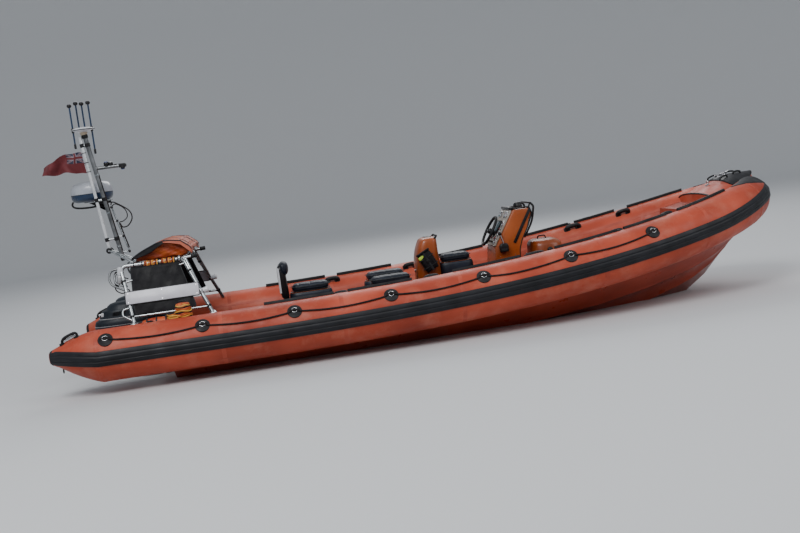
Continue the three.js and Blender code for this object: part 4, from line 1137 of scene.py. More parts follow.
def makeSeats():
    screws = []
    for name, y, x0, x1, half, top in seatPlaces:
        centre, length = (x0 + x1) / 2, (x1 - x0) / 2
        base = Shape()
        rows = [(floorZ, centre, length, half * 0.85), (0.45, centre, length, half),
                (top - 0.02, centre, length, half * 0.82), (top, centre, length - 0.006, half * 0.8 - 0.004)]
        base.loft(podRings(y, rows, 4.0, 44, 5), "ochre")
        base.loft([roundRing(centre, y, z, length + grow, half * 0.85 + grow, 4.0, 44) for z, grow in
                   ((floorZ, 0.006), (floorZ + 0.022, 0.006), (floorZ + 0.028, 0.0))], "rubber")
        apron = ((0.15, 0.004, 0.9, 0.004), (0.14, 0.008, 0.9, 0.009), (0.03, 0.008, 0.84, 0.01),
                 (0.004, -0.004, 0.81, 0.002))
        base.loft(podRings(y, [(top - down, centre, length + more, half * share + wide)
                               for down, more, share, wide in apron], 4.0, 44, 4), "seat")
        for side in (-1, 1):
            wall = y + side * half * 0.985
            base.box((centre - 0.11, wall - 0.008, 0.4), (centre + 0.11, wall + 0.003, 0.54), "plastic", edge=0.006)
            base.tube(rounded([(centre - 0.03, wall, 0.5), (centre - 0.03, wall + side * 0.018, 0.5),
                               (centre + 0.03, wall + side * 0.018, 0.5), (centre + 0.03, wall, 0.5)], 0.01),
                      0.0045, "steel", round=8)
            for dx in (-0.098, 0.098):
                for z in (0.412, 0.528):
                    screws.append(((centre + dx, wall + side * 0.003, z), (0, side, 0)))
        base.make(camel(name) + "Base", "boat", (name + "_base",), "moulded_ochre", 42)
        low, long = top + 0.0003, length - 0.01
        rough = Shape()
        rings = [roundRing(centre, y, z, long * a, half * b, 4.0, 44) for z, a, b in
                 ((low + 0.006, 0.93, 0.8), (low + 0.03, 0.965, 0.93), (low + 0.06, 0.955, 0.9),
                  (low + 0.08, 0.9, 0.8), (low + 0.086, 0.7, 0.55))]
        rough.loft(rings, "seat")
        mesh = puffed(camel(name) + "Pad", rough, 0.01, 0.007)
        places = placesOf(mesh)
        places[:, 2] = np.maximum(places[:, 2], low)
        groove = sum(np.exp(-((places[:, 0] - centre - at) / 0.006) ** 2) for at in (0, 0.13, -0.13))
        places[:, 2] -= 0.006 * groove * (places[:, 2] > low + 0.05)
        mesh.vertices.foreach_set("co", places.ravel())
        softPiece(camel(name) + "Cushion", mesh, "seat", (name + "_cushion",), 2)
        welt = Shape()
        for up, a, b in ((0.062, 0.965, 0.905), (0.012, 0.95, 0.86)):
            welt.tube(roundRing(centre, y, low + up, long * a + 0.004, half * b + 0.004, 4.0, 60), 0.0036, "seam",
                      round=8, closed=True)
        welt.make(camel(name) + "Welt", "boat", slot="seat_vinyl", angle=60)
    scatter("seatScrews", screws, screwPiece(), "steel")


makeSeats()


# Aft seat's backrest with its pale edge strip


def makeBackrest():
    post = Shape()
    post.tube([(-1.69, 0, floorZ), (-1.7, 0, 0.93)], 0.02, "paintedTube", round=16)
    post.turned(mm(55, 0, 55, 6, 28, 12, 24, 30, 2, 30), (-1.69, 0, floorZ), (0, 0, 1), "alloy")
    post.make("backrestPost", "boat", slot="frame_alloy", angle=45)
    rough = Shape()
    rows = [(0.884, 0.04, 0.145), (0.93, 0.053, 0.168), (1.0, 0.051, 0.163), (1.026, 0.03, 0.135)]
    rough.loft(podRings(0, [(z, -1.7, a, b) for z, a, b in rows], 3.0, 40, 3), "seat")
    mesh = puffed("backPad", rough, 0.008)
    softPiece("backrestPad", mesh, "seat", ("aft_seat_backrest",), 2)
    strip = Shape()
    strip.loft(podRings(0, [(0.6, -1.712, 0.028, 0.08), (0.63, -1.716, 0.044, 0.125), (0.78, -1.728, 0.05, 0.15),
                            (0.95, -1.732, 0.046, 0.155), (1.0, -1.73, 0.026, 0.13)], 3.6, 40, 4), "plastic")
    for side in (-1, 1):
        strip.box((-1.775, side * 0.15 - 0.006, 0.68), (-1.752, side * 0.15 + 0.006, 0.97), "white")
    strip.make("backrestShell", "boat", slot="instrument_black")


makeBackrest()


# Crew console with its grab rail and pouch


def leanPouch(v):
    turn = Matrix.Rotation(radians(-26), 3, "Y")
    return Vector((-0.045, 0, 0.82)) + turn @ (Vector(v) - Vector((-0.06, 0, 0.82)))


def makeCrewConsole():
    shape = Shape()
    rows = [(floorZ, -0.03, 0.138, 0.2), (0.6, -0.03, 0.143, 0.21), (0.8, -0.03, 0.142, 0.207),
            (0.94, -0.018, 0.126, 0.2), (1.045, 0.004, 0.102, 0.182), (1.066, 0.01, 0.088, 0.16),
            (1.078, 0.014, 0.062, 0.13)]
    shape.loft(podRings(0, rows, 4.0, 48, 5), "ochre")
    shape.loft([roundRing(-0.03, 0, z, 0.13 + grow, 0.2 + grow, 4.0, 48) for z, grow in
                ((floorZ, 0.007), (floorZ + 0.03, 0.007), (floorZ + 0.036, 0.0))], "rubber")
    shape.make("crewConsoleBody", "boat", ("crew_console",), "moulded_ochre", 42)
    trim = Shape()
    bar = [(0.055, -0.15, 1.03), (0.105, -0.15, 1.088), (0.105, 0.15, 1.088), (0.055, 0.15, 1.03)]
    trim.tube(rounded(bar, 0.05, 6), 0.0125, "rubber")
    for y in (-0.15, 0.15):
        trim.turned(mm(26, -6, 24, 4, 14, 8, 2, 8), (0.053, y, 1.032), (0.8, 0, 0.6), "rubber")
    trim.box((-0.172, -0.12, 0.42), (-0.16, 0.12, 0.74), "plastic", edge=0.005)
    trim.box((-0.184, -0.018, 0.69), (-0.17, 0.018, 0.72), "steel")
    trim.box((-0.03, -0.09, 1.072), (0.05, 0.09, 1.084), "plastic", edge=0.006)
    trim.make("crewConsoleTrim", "boat", slot="instrument_black", angle=45)
    rough = Shape()
    rows = [(0.695, -0.06, 0.078, 0.024), (0.76, -0.06, 0.088, 0.031), (0.9, -0.06, 0.085, 0.029),
            (0.944, -0.06, 0.074, 0.02)]
    rough.loft(podRings(-0.246, rows, 4.0, 40, 3), "fabric")
    rough.moved(leanPouch)
    mesh = puffed("pouchPad", rough, 0.008)
    softPiece("crewPouch", mesh, "fabric", ("crew_console_pouch",))
    band = Shape()
    band.box((-0.145, -0.289, 0.925), (0.025, -0.268, 0.948), "fabric", edge=0.006)
    band.box((-0.14, -0.2835, 0.872), (-0.075, -0.27, 0.908), "hivis")
    band.tube([(-0.06, -0.286, 0.7), (-0.06, -0.289, 0.8), (-0.06, -0.288, 0.925)], 0.012, "seam", round=8,
              squash=0.2)
    band.box((-0.078, -0.294, 0.8), (-0.042, -0.283, 0.835), "plastic")
    for z in (0.755, 0.86):
        band.tube(roundRing(-0.06, -0.246, z, 0.094, 0.0385, 4.0, 40), 0.004, "seam", round=8, closed=True)
    band.moved(leanPouch)
    band.make("pouchBand", "boat", slot="black_fabric", angle=45)


makeCrewConsole()


# Bow locker: lidded pod with straps


def makeLocker():
    shape = Shape()
    rows = [(floorZ, 1.4, 0.2, 0.26), (0.6, 1.4, 0.205, 0.26), (0.8, 1.39, 0.19, 0.23), (0.85, 1.377, 0.16, 0.195),
            (0.87, 1.37, 0.12, 0.15)]
    shape.loft(podRings(0, rows, 3.0, 52, 6), "ochre")
    shape.loft([roundRing(1.4, 0, z, 0.2 + grow, 0.26 + grow, 3.0, 52) for z, grow in
                ((floorZ, 0.007), (floorZ + 0.03, 0.007), (floorZ + 0.036, 0.0))], "rubber")
    shape.loft([roundRing(1.397, 0, z, a, b, 3.0, 52) for z, a, b in
                ((0.662, 0.203, 0.256), (0.664, 0.211, 0.264), (0.686, 0.21, 0.262), (0.69, 0.199, 0.249))], "ochre")
    shape.make("bowLockerBody", "boat", ("bow_locker",), "moulded_ochre", 42)
    trim = Shape()
    for x, y, axis in ((1.19, -0.1, (-1, 0, 0)), (1.19, 0.1, (-1, 0, 0)), (1.4, -0.268, (0, -1, 0)),
                       (1.4, 0.268, (0, 1, 0))):
        way = Vector(axis)
        across = Vector((-way.y, way.x, 0))
        base = Vector((x, y, 0.675))
        low, high = base - across * 0.022 - way * 0.006, base + across * 0.022 + way * 0.006
        trim.box((low.x, low.y, 0.635), (high.x, high.y, 0.715), "plastic")
        trim.tube([base + way * 0.009 - across * 0.014 + upAxis * 0.025, base + way * 0.013 - upAxis * 0.03,
                   base + way * 0.009 + across * 0.014 + upAxis * 0.025], 0.003, "steel", round=8)
    trim.ball((1.4, -0.245, 0.745), 0.034, "rubber", stretch=(1, 0.7, 1))
    trim.tube(rounded([(1.32, 0, 0.874), (1.33, 0, 0.905), (1.41, 0, 0.905), (1.42, 0, 0.868)], 0.02),
              0.008, "rubber", round=10)
    trim.make("bowLockerFittings", "boat", slot="instrument_black", angle=45)


makeLocker()
print("cockpit ready")


# Gantry: tube frames each side, bars across, with clamps, lashings and lamps

gantry = dict(top=1.27, foot=0.635, footY=0.985, topY=0.72, tube=0.021,
              hoop=((-3.33, 0.635), (-3.42, 1.23), (-3.39, 1.27), (-2.78, 1.27), (-2.74, 1.24), (-2.49, 0.635)),
              upperLoop=((-3.405, 1.255), (-3.53, 1.245), (-3.56, 1.17), (-3.535, 1.09), (-3.385, 1.01)),
              lashed=((-3.165, -3.015), (-2.985, -2.835)),
              handRail=((-3.36, 0.83), (-3.44, 0.82), (-3.45, 0.76), (-3.355, 0.7)))


def framePoint(x, z, side, out=0.0):
    share = (z - gantry["foot"]) / (gantry["top"] - gantry["foot"])
    return Vector((x, side * (mix(gantry["footY"], gantry["topY"], share) + out), z))


def clampRing(shape, a, b, share):
    shape.turned(mm(19, -14, 25, -12, 25, 12, 19, 14), a.lerp(b, share), (b - a).normalized(), "plastic", round=18)


def makeGantry(word, side):
    shape = Shape()
    shape.tube(rounded([framePoint(x, z, side) for x, z in gantry["hoop"]], 0.05), gantry["tube"], "alloy", round=18)
    shape.tube([framePoint(-2.725, 1.262, side), framePoint(-2.595, 0.895, side)], 0.016, "alloy", round=16)
    shape.tube([framePoint(-2.78, 1.27, side), framePoint(-2.655, 1.28, side)], 0.0175, "alloy", round=18)
    hook = mm(-3400, 1200, -3495, 1205, -3500, 1100, -3400, 1055)
    shape.tube(rounded([framePoint(x, z, side, -0.012) for x, z in hook], 0.04), 0.01, "paintedTube")
    shape.tube([framePoint(-3.35, 0.735, side), framePoint(-2.54, 0.735, side)], 0.014, "alloy", round=16)
    shape.tube([framePoint(-3.38, 1.1, side), framePoint(-2.72, 1.22, side)], 0.011, "alloy", round=14)
    for key, look in (("handRail", "alloy"), ("upperLoop", "paintedTube")):
        shape.tube(rounded([framePoint(x, z, side) for x, z in gantry[key]], 0.05, 6), 0.012, look, round=14)
    for x in (-3.33, -2.49):
        foot = framePoint(x, gantry["foot"], side)
        centre, radius = collarAt(x)
        normal = (Vector((0, foot.y, foot.z)) - Vector((0, centre.y, centre.z))).normalized()
        base = Vector((x, centre.y, centre.z)) + normal * radius
        shape.turned(mm(78, -14, 78, 6, 60, 10, 36, 26, 26, 55, 21, 60, 2, 60), base, normal, "alloy", round=28)
    lashed = Shape()
    for start, end in gantry["lashed"]:
        for k in range(int((end - start) / 0.0105)):
            drop = 0.003 + 0.013 * abs(sin(1.3 * k))
            middle = framePoint(start + 0.0105 * k, 1.27, side)
            loop = [middle + Vector((0.004 * sin(turn + k), 0.0245 * cos(turn),
                                     0.0245 * sin(turn) - drop * (1 - sin(turn)) / 2))
                    for turn in turns(16)]
            lashed.tube(loop, 0.0056, ("lashing", "orangeBag", "lashing", "cord", "yellowRope")[(k * 3) % 5], round=6,
                        closed=True)
    lashed.make("gantryLashing_" + word, "boat", slot="rope_yellow", angle=60)
    dark = Shape()
    dark.turned(mm(2, 0, 22, 0, 24, 4, 24, 60, 20, 66, 2, 66),
                framePoint(-2.665, 1.279, side), (1, 0, 0.08), "rubber", round=20)
    for x, z, size, look in ((-3.432, 1.222, 0.034, "white"), (-3.445, 1.137, 0.03, "zinc")):
        place = framePoint(x, z, side, -0.004)
        dark.turned([(0.002, -size * 1.35), (size * 0.8, -size * 1.35), (size, -size), (size, size),
                     (size * 0.8, size * 1.35), (0.002, size * 1.35)], place, (0.18, 0, 1), look,
                    round=8 if look == "white" else 22)
        dark.tube(curved([place, place + Vector((0.02, 0, -size * 1.8)),
                          place + Vector((0.075, 0, -size * 1.4 - 0.04))], 5),
                  0.006, "cord", round=8)
    for k in range(3):
        ring = [framePoint(-3.475 + 0.028 * cos(turn), 1.145 + (0.075 - 0.008 * k) * sin(turn), side,
                           -0.03 - 0.009 * k)
                for turn in turns(22)]
        dark.tube(ring, 0.009 - 0.0015 * k, "rubber", round=10, closed=True)
    dark.tube(curved([framePoint(x, z, side, -0.022) for x, z in
                      ((-3.44, 1.18), (-3.5, 1.05), (-3.43, 0.99), (-3.36, 1.02), (-3.345, 0.9))], 6), 0.0065, "cord",
              round=8)
    for a, b, shares in (((-3.33, 0.635), (-3.42, 1.23), (0.17, 0.8)), ((-2.74, 1.24), (-2.49, 0.635), (0.18, 0.83))):
        for share in shares:
            clampRing(dark, framePoint(*a, side), framePoint(*b, side), share)
    shape.turned(mm(26, -12, 40, -8, 40, 8, 26, 12), framePoint(-2.79, 1.27, side), (1, 0, 0), "alloy", round=26)
    shape.turned(mm(21, -22, 30, -19, 30, 19, 21, 22), framePoint(-2.755, 1.262, side), (0.5, 0, -0.86),
                 "alloy", round=22)
    clampAt = framePoint(-2.592, 0.896, side)
    dark.turned(mm(18, -20, 30, -17, 30, 17, 18, 20), clampAt, (0.4, 0, -0.92), "plastic")
    dark.box(clampAt + Vector((-0.012, -0.034, -0.014)), clampAt + Vector((0.012, 0.034, 0.014)), "steel", edge=0.003)
    base, tip = framePoint(-2.6, 0.9, side), framePoint(-2.53, 0.912, side)
    dark.tube([base, tip], 0.034, "white", round=20, radii=[0.027, 0.034])
    dark.turned(mm(34, -3, 31, 4, 20, 10, 2, 12), tip, tip - base, "clearLens", round=20)
    dark.make("gantryClamps_" + word, "boat", slot="instrument_black", angle=45)
    shape.make("gantryFrame_" + word, "boat", ("gantry_side_" + word,), "frame_alloy", 45)


for word, side in sides:
    makeGantry(word, side)


def makeGantryBars():
    front = Shape()
    front.tube([(-2.79, -0.72, 1.27), (-2.79, 0.72, 1.27)], 0.019, "alloy", round=18)
    for side in (-1, 1):
        front.turned(mm(21, -30, 23.5, -26, 23.5, 4, 19, 8, 2, 8),
                     (-2.79, side * 0.741, 1.27), (0, side, 0), "rubber", round=18)
    front.make("gantryFrontBar", "boat", ("gantry_front_bar",), "frame_alloy", 45)
    rear = Shape()
    rear.tube([(-3.33, -0.72, 1.268), (-3.33, 0.72, 1.268)], 0.019, "alloy", round=18)
    for y in (-0.06, 0.06):
        rear.tube([(-3.33, y, 1.268), (-3.577, y, 1.417)], 0.0165, "alloy", round=14)
        rear.tube(rounded([(-3.345, y * 4.5, 1.268), (-3.44, y * 3.0, 1.33), (-3.575, y * 1.12, 1.412)], 0.08),
                  0.01, "alloy", round=12)
        rear.turned(mm(2, -6, 26, -6, 34, -3, 34, 3, 26, 6, 2, 6), (-3.615, y, 1.435), (0, 1, 0), "plastic", round=28)
        rear.turned([(0.012, -0.01), (0.012, 0.01)], (-3.615, y * 1.12, 1.435), (0, 1, 0), "steel", round=6)
        rear.tube([(-3.577, y, 1.417), (-3.612, y, 1.433)], 0.012, "alloy")
    rear.make("gantryRearBar", "boat", ("gantry_rear_bar",), "frame_alloy", 45)


makeGantryBars()


# Righting bag: folded air bag strapped in a tray of fabric over the gantry, under a black cover whose side flaps are
# partly painted shade, and a pale pink quilted panel whose tone is partly a painted highlight

righting = dict(half=0.56, outline=((-3.3, 1.2893), (-3.31, 1.329), (-3.2, 1.39), (-3.03, 1.458), (-2.96, 1.472),
                                    (-2.87, 1.47), (-2.77, 1.455), (-2.67, 1.375), (-2.655, 1.33), (-2.74, 1.2893)))


def makeRightingBag():
    rough = Shape()
    centre = Vector((-2.98, 0, 1.37))
    rings = []
    for y, grow in ((-0.548, 0.72), (-0.545, 0.88), (-0.52, 0.955), (-0.4, 0.965), (0, 0.965), (0.4, 0.965),
                    (0.52, 0.955), (0.545, 0.88), (0.548, 0.72)):
        path = rounded([Vector((x, 0, z)) for x, z in righting["outline"] + righting["outline"][:2]], 0.03, 3)[1:-1]
        rings.append([Vector((mix(centre.x, p.x, grow), y, mix(centre.z, p.z, grow))) for p in path])
    rough.loft(rings, "airbag")
    mesh = puffed("rightingPad", rough, 0.018, 0.012)
    places = placesOf(mesh)
    x, y, z = places.T
    edge = np.clip((np.abs(y) - 0.5) / 0.06, 0, 1)
    fold = 0.011 * np.sin(58 * z + 30 * x + 1.6 * np.sin(9 * x))
    fold += 0.006 * np.sin(130 * z - 42 * x + 2 * np.sin(14 * z))
    places[:, 1] += np.sign(y) * (fold - 0.006) * edge
    front = np.clip((x + 2.93) / 0.08, 0, 1) * np.clip((z - 1.34) / 0.05, 0, 1)
    places[:, 2] += 0.0035 * np.sin(x * 190) * front
    straps = np.exp(-((np.abs(y) - 0.3) / 0.028) ** 2)
    places[:, 2] -= 0.007 * straps * np.clip((z - 1.33) / 0.05, 0, 1)
    places[:, 2] = np.maximum(places[:, 2], 1.2895)
    mesh.vertices.foreach_set("co", places.ravel())
    softPiece("rightingBag", mesh, "airbag", ("righting_bag",))
    cover = Shape()

    def roof(t, y, lift):
        path = [Vector((x, 0, z)) for x, z in righting["outline"][1:9]]
        lengths = [0.0]
        for a, b in zip(path, path[1:]):
            lengths.append(lengths[-1] + (b - a).length)
        want = t * lengths[-1]
        k = min(max(i for i in range(len(lengths)) if lengths[i] <= want + 1e-9), len(path) - 2)
        share = (want - lengths[k]) / (lengths[k + 1] - lengths[k])
        here = path[k].lerp(path[k + 1], share)
        way = (path[k + 1] - path[k]).normalized()
        normal = Vector((-way.z, 0, way.x))
        return here + normal * lift + Vector((0, y, 0))

    def outOf(p):
        return Vector((p.x - centre.x, 0, p.z - centre.z)).normalized()

    # the second cover part is the pale pink quilted panel: its ribs and piping are the real cover, its pale pink tone
    # a painted highlight on the bag's top and front
    for first, last, count, look, ribs, hang in ((-0.02, 0.53, 18, "fabric", 0.0,
                                                  lambda t: 0.012 + 0.045 * sin(pi * min(1, max(0, t) / 0.56))),
                                                 (0.515, 0.96, 26, "quilt", 0.004,
                                                  lambda t: 0.014 + 0.11 * min(0.4, t - 0.51))):
        rings = []
        for t in np.linspace(first, last, count):
            at, drop = max(t, 0.0), hang(t)
            lift = 0.006 + ribs * sin(t * 150)
            top = [roof(at, y, lift + 0.003 * sin(9 * y + 11 * t)) for y in np.linspace(-0.562, 0.562, 25)]
            # the hems hang below the roof as side flaps: on the black aft part they are partly real cover and partly
            # painted shade on the bag's upper sides, and on the pale pink part they carry the painted highlight down
            # the front
            hems = [[roof(at, side * (0.57 + 0.004 * k),
                          0.004) - upAxis * drop * k / 3 for k in range(4)] for side in (-1, 1)]
            low = [roof(at, side * 0.552, -0.004) - upAxis * max(0.0, drop - 0.004) for side in (1, -1)]
            middle = [roof(at, y, -0.004) for y in np.linspace(0.545, -0.545, 9)]
            ring = hems[0][::-1] + top + hems[1] + [low[0]] + middle + [low[1]]
            if t < 0:
                ring = [p - Vector((0.004, 0, 0.006)) for p in ring]
            rings.append(ring)
        cover.loft(rings, look)
    for y in (-0.57, 0.57):
        cover.tube([roof(t, y, 0.006) for t in np.linspace(0, 0.97, 20)], 0.0065, "seam", round=8)
    cover.tube([roof(0.525, y, 0.01) for y in np.linspace(-0.567, 0.567, 24)], 0.0065, "seam", round=8)
    for y in (-0.3, 0.3):
        section = [Vector((x, y, z)) for x, z in righting["outline"][4:]] + [Vector((-3.0, y, 1.286))]
        pushed = [p + outOf(p) * 0.009 if p.z > 1.29 else p for p in section]
        rings = []
        for p in rounded(pushed, 0.03, 3):
            a, b, rise = p - Vector((0, 0.022, 0)), p + Vector((0, 0.022, 0)), outOf(p) * 0.004
            rings.append([a, a + rise, b + rise, b])
        cover.loft(rings, "seam")
    cover.make("rightingCover", "boat", slot="black_fabric", angle=50)


makeRightingBag()


# Side screens of slack fabric behind each name board


def makeSideBags(word, side):
    rings, columns = [], 34
    for z in np.linspace(0.756, 1.252, 22):
        share = (z - 0.756) / 0.496
        x0, x1 = mix(-3.312, -3.316, share), mix(-2.665, -2.805, share)
        front, back = [], []
        for k in range(columns + 1):
            x = mix(x0, x1, k / columns)
            inset = min(1.0, min(k, columns - k) / 2.5) * min(1.0, min(z - 0.75, 1.258 - z) / 0.03)
            wave = (0.005 * sin(15 * x + 22 * z) + 0.004 * sin(44 * x - 33 * z + 2 * sin(6 * z))
                    + 0.002 * sin(70 * z + 12 * x))
            wave = max(-0.003, min(0.009, wave))
            front.append(framePoint(x, z, side, 0.01 + (0.007 + wave) * inset))
            back.append(framePoint(x, z, side, -0.01 - 0.004 * inset))
        rings.append(front + back[::-1])
    shape = Shape()
    shape.loft(rings, "fabric")
    piece = shape.make("sideScreen_" + word, "boat", ("side_bag_" + word,), "black_fabric", 70)
    trim = Shape()
    edge = mm(-3314, 757, -3318, 1250, -2807, 1250, -2667, 757)
    route = rounded([framePoint(x, z, side, 0.002) for x, z in edge + edge[:2]], 0.03, 4)[1:-1]
    trim.tube(route, 0.0085, "seam", round=8, closed=True)
    for k in range(6):
        x = mix(-3.28, -2.84, k / 5)
        middle = framePoint(x, 1.27, side)
        loop = [middle + Vector((0, 0.0265 * cos(t), 0.0265 * sin(t))) for t in turns(14)]
        trim.tube(loop, 0.0042, "cord", round=6, closed=True)
    trim.make("screenTrim_" + word, "boat", slot="black_fabric", angle=50)


for word, side in sides:
    makeSideBags(word, side)


# Bare name boards with a dark edge and screws


def makeNameBoards(word, side):
    shape = Shape()
    low, high = (-3.4, 0.868), (-2.615, 1.0)

    def onBoard(x, z, out):
        return framePoint(x, z, side, 0.0193 + out)

    def slab(grow, near, far, look, edge):
        start = len(shape.verts)
        shape.box((low[0] - grow, low[1] - grow, near), (high[0] + grow, high[1] + grow, far), look, edge=edge)
        shape.moved(lambda v: onBoard(v.x, v.y, v.z), start)

    slab(0.0, 0.0, 0.01, "board", 0.003)
    slab(-0.004, 0.0085, 0.0112, "board", 0.001)
    corners = [low, (high[0], low[1]), high, (low[0], high[1]), low, (high[0], low[1])]
    route = rounded([onBoard(x, z, 0.0055) for x, z in corners], 0.02, 3)[1:-1]
    shape.tube(route, 0.0062, "plastic", round=8, closed=True)
    shape.make("nameBoard_" + word, "boat", ("name_board_" + word,), "board_white", 40)
    screws = []
    for x in (low[0] + 0.03, -3.01, high[0] - 0.03):
        for z in (low[1] + 0.02, high[1] - 0.02):
            screws.append((onBoard(x, z, 0.0112), (0, side * 0.92, 0.385)))
    scatter("boardScrews_" + word, screws, screwPiece(0.006), "steel")


for word, side in sides:
    makeNameBoards(word, side)


# Bags and rope stowed under the gantry


def makeStowedGear():
    rough = Shape()
    rings = []
    for x, half in ((-3.25, 0.018), (-3.235, 0.035), (-3.18, 0.048), (-3.09, 0.054), (-3.0, 0.048), (-2.945, 0.035),
                    (-2.93, 0.018)):
        rings.append([Vector((x, -1.02 + half * 1.25 * cos(t), 0.648 + 0.004 + half * sin(t)))
                      for t in turns(24)])
    rough.loft(rings, "orangeBag")
    mesh = puffed("stowagePad", rough, 0.007)
    softPiece("stowageBag", mesh, "orangeBag", ("stowage_bag",))
    trim = Shape()
    for x in (-3.19, -3.09, -2.99):
        loop = [Vector((x, -1.02 + 0.071 * cos(t), 0.65 + 0.0575 * sin(t))) for t in turns(20)]
        trim.tube(loop, 0.008, "seam", round=8, closed=True, squash=0.4)
    trim.tube([(-3.3, -1.075, 0.612), (-3.1, -1.082, 0.6), (-2.9, -1.075, 0.606)], 0.01, "rubber", round=8)
    rough = Shape()
    rows = [(0.626, -2.8, 0.07, 0.048), (0.66, -2.8, 0.078, 0.054), (0.78, -2.8, 0.076, 0.052),
            (0.818, -2.8, 0.058, 0.038)]
    rough.loft(podRings(-1.04, rows, 3.0, 36, 3), "orangeBag")
    mesh = puffed("ropeBagPad", rough, 0.007)
    softPiece("ropeBag", mesh, "orangeBag", ("rope_bag",))
    for k in range(13):
        z = 0.64 + 0.0135 * k
        grow = 0.004 + 0.004 * sin(2.1 * k) - 0.03 * max(0, (k - 9) / 4) ** 2
        ring = [p + upAxis * 0.006 * sin(3 * atan2(p.y + 1.04, p.x + 2.8) + k) for p in
                roundRing(-2.8, -1.04, z, 0.078 + grow, 0.054 + grow, 3.0, 30)]
        trim.tube(ring, 0.0075, ("lashing", "yellowRope", "cord", "orangeBag")[(k * 3) % 4], round=8, closed=True)
    trim.tube(curved([(-2.83, -1.04, 0.826), (-2.835, -1.04, 0.838), (-2.8, -1.04, 0.842), (-2.765, -1.04, 0.838),
                      (-2.77, -1.04, 0.826)], 4),
              0.007, "seam", round=8)
    trim.make("gearStraps", "boat", slot="black_fabric", angle=50)
    coil = Shape()
    for k in range(8):
        radius, lift = 0.052 + 0.004 * (k % 3), 0.012 * (k // 2)
        centre = Vector((-2.905 + 0.006 * (k % 3), -1.035, 0.668 + lift))
        loop = [centre + Vector(((radius + 0.02) * cos(t), radius * sin(t), 0.006 * sin(2 * t + k)))
                for t in turns(26)]
        coil.tube(loop, 0.0065, "yellowRope" if k % 3 else "lashing", round=8, closed=True)
    coil.make("ropeCoil", "boat", slot="rope_yellow", angle=60)


makeStowedGear()
print("gantry ready")


# Twin outboards: cowl in three levels, tray, leg, brackets and propeller

engine = dict(y=0.33, power=3.2,
              cowl=((0.3755, -3.352, 0.368, 0.198), (0.386, -3.36, 0.383, 0.204), (0.45, -3.399, 0.439, 0.218),
                    (0.54, -3.404, 0.447, 0.2205), (0.61, -3.403, 0.446, 0.219), (0.655, -3.402, 0.442, 0.2135),
                    (0.682, -3.398, 0.432, 0.2075), (0.692, -3.392, 0.416, 0.2), (0.702, -3.388, 0.406, 0.197),
                    (0.765, -3.374, 0.386, 0.188), (0.79, -3.368, 0.376, 0.184), (0.798, -3.36, 0.36, 0.179),
                    (0.808, -3.352, 0.345, 0.174), (0.838, -3.35, 0.334, 0.163), (0.858, -3.342, 0.312, 0.148),
                    (0.868, -3.332, 0.28, 0.127), (0.873, -3.32, 0.215, 0.095)),
              trim=((0.702, 0.712), (0.626, 0.632)))


def powerRing(x, y, z, halfLength, halfWidth):
    ring = []
    for angle in turns(56):
        c, s = squircle(engine["power"], angle)
        narrow = 1 - 0.1 * max(0.0, cos(angle)) ** 2
        ring.append(Vector((x + halfLength * c, y + halfWidth * s * narrow, z)))
    return ring


def cowlRow(z, grow=0.0):
    return tuple(eased(engine["cowl"], z, k) + (grow if k > 1 else 0) for k in (1, 2, 3))


def makeCowls(word, side):
    y = side * engine["y"]
    shape = Shape()
    outer = [powerRing(x, y, z, a, b) for z, x, a, b in engine["cowl"]]
    inner = [powerRing(x, y, min(z, 0.855), max(0.02, a - 0.012), max(0.02, b - 0.012))
             for z, x, a, b in engine["cowl"]]
    wall = inner[-1:0:-1] + [powerRing(engine["cowl"][0][1], y, 0.3755, 0.356, 0.186)] + outer
    shape.loft(wall, "cowl", caps=False)
    count = 56
    for ring, flip in ((outer[-1], 1), (inner[-1], -1)):
        centre = sum(ring, Vector()) / count + upAxis * 0.0015 * flip
        shape.add(list(ring) + [centre], [(j, (j + 1) % count, count) for j in range(count)], "cowl")
    shape.make("engineCowl_" + word, "engine_" + word, ("cowl_" + word,), "cowl_gloss", 36)
    trim = Shape()
    for low, high in engine["trim"]:
        rings = []
        for z, grow in ((low, -0.002), (low, 0.0022), (high, 0.0022), (high, -0.002)):
            x, a, b = cowlRow((low + high) / 2, grow)
            rings.append(powerRing(x, y, z, a, b))
        trim.loft(rings, "zinc", loop=True)
    for k, z in enumerate((0.742, 0.756, 0.77)):
        for reach in (-1, 1):
            x, a, b = cowlRow(z)
            trim.tube([(x - a * 0.62, y + reach * (b * 0.985), z), (x - a * 0.25, y + reach * (b * 1.0), z)], 0.0042,
                      "plastic", round=6)
    x, a, b = cowlRow(0.77)
    for reach in (-1, 1):
        trim.box((x - a * 0.985, y + reach * b * 0.55 - 0.035, 0.735),
                 (x - a * 0.9, y + reach * b * 0.55 + 0.035, 0.775), "white", edge=0.008)
    grip = [(x - a - 0.004, y - 0.07, 0.725), (x - a - 0.018, y - 0.06, 0.735), (x - a - 0.018, y + 0.06, 0.735),
            (x - a - 0.004, y + 0.07, 0.725)]
    trim.tube(rounded(grip, 0.015), 0.008, "plastic", round=10)
    x, a, b = cowlRow(0.385)
    for reach in (-1, 1):
        wall = y + reach * (b + 0.002)
        trim.box((x - 0.03, wall - 0.006, 0.388), (x + 0.03, wall + 0.006, 0.43), "plastic")
    trim.make("cowlTrim_" + word, "engine_" + word, slot="cowl_gloss", angle=40)
    mount = frame["nodes"]["powerhead_" + word]
    corners = [mount.matrix_world @ v.co for v in mount.data.vertices]
    low, high = ([pick(corner[k] for corner in corners) for k in range(3)] for pick in (min, max))
    block = Shape()
    block.box(low, high, "iron", edge=0.012)
    for k in range(6):
        z = mix(low[2] + 0.05, high[2] - 0.05, k / 5)
        for reach in (low[1], high[1]):
            block.box((low[0] + 0.03, reach - 0.004, z - 0.008), (high[0] - 0.03, reach + 0.004, z + 0.008), "iron",
                      edge=0.003)
    block.make("engineBlock_" + word, bodyOf("powerhead_" + word), ("powerhead_" + word,), "powerhead_iron", 40)


for word, side in sides:
    makeCowls(word, side)


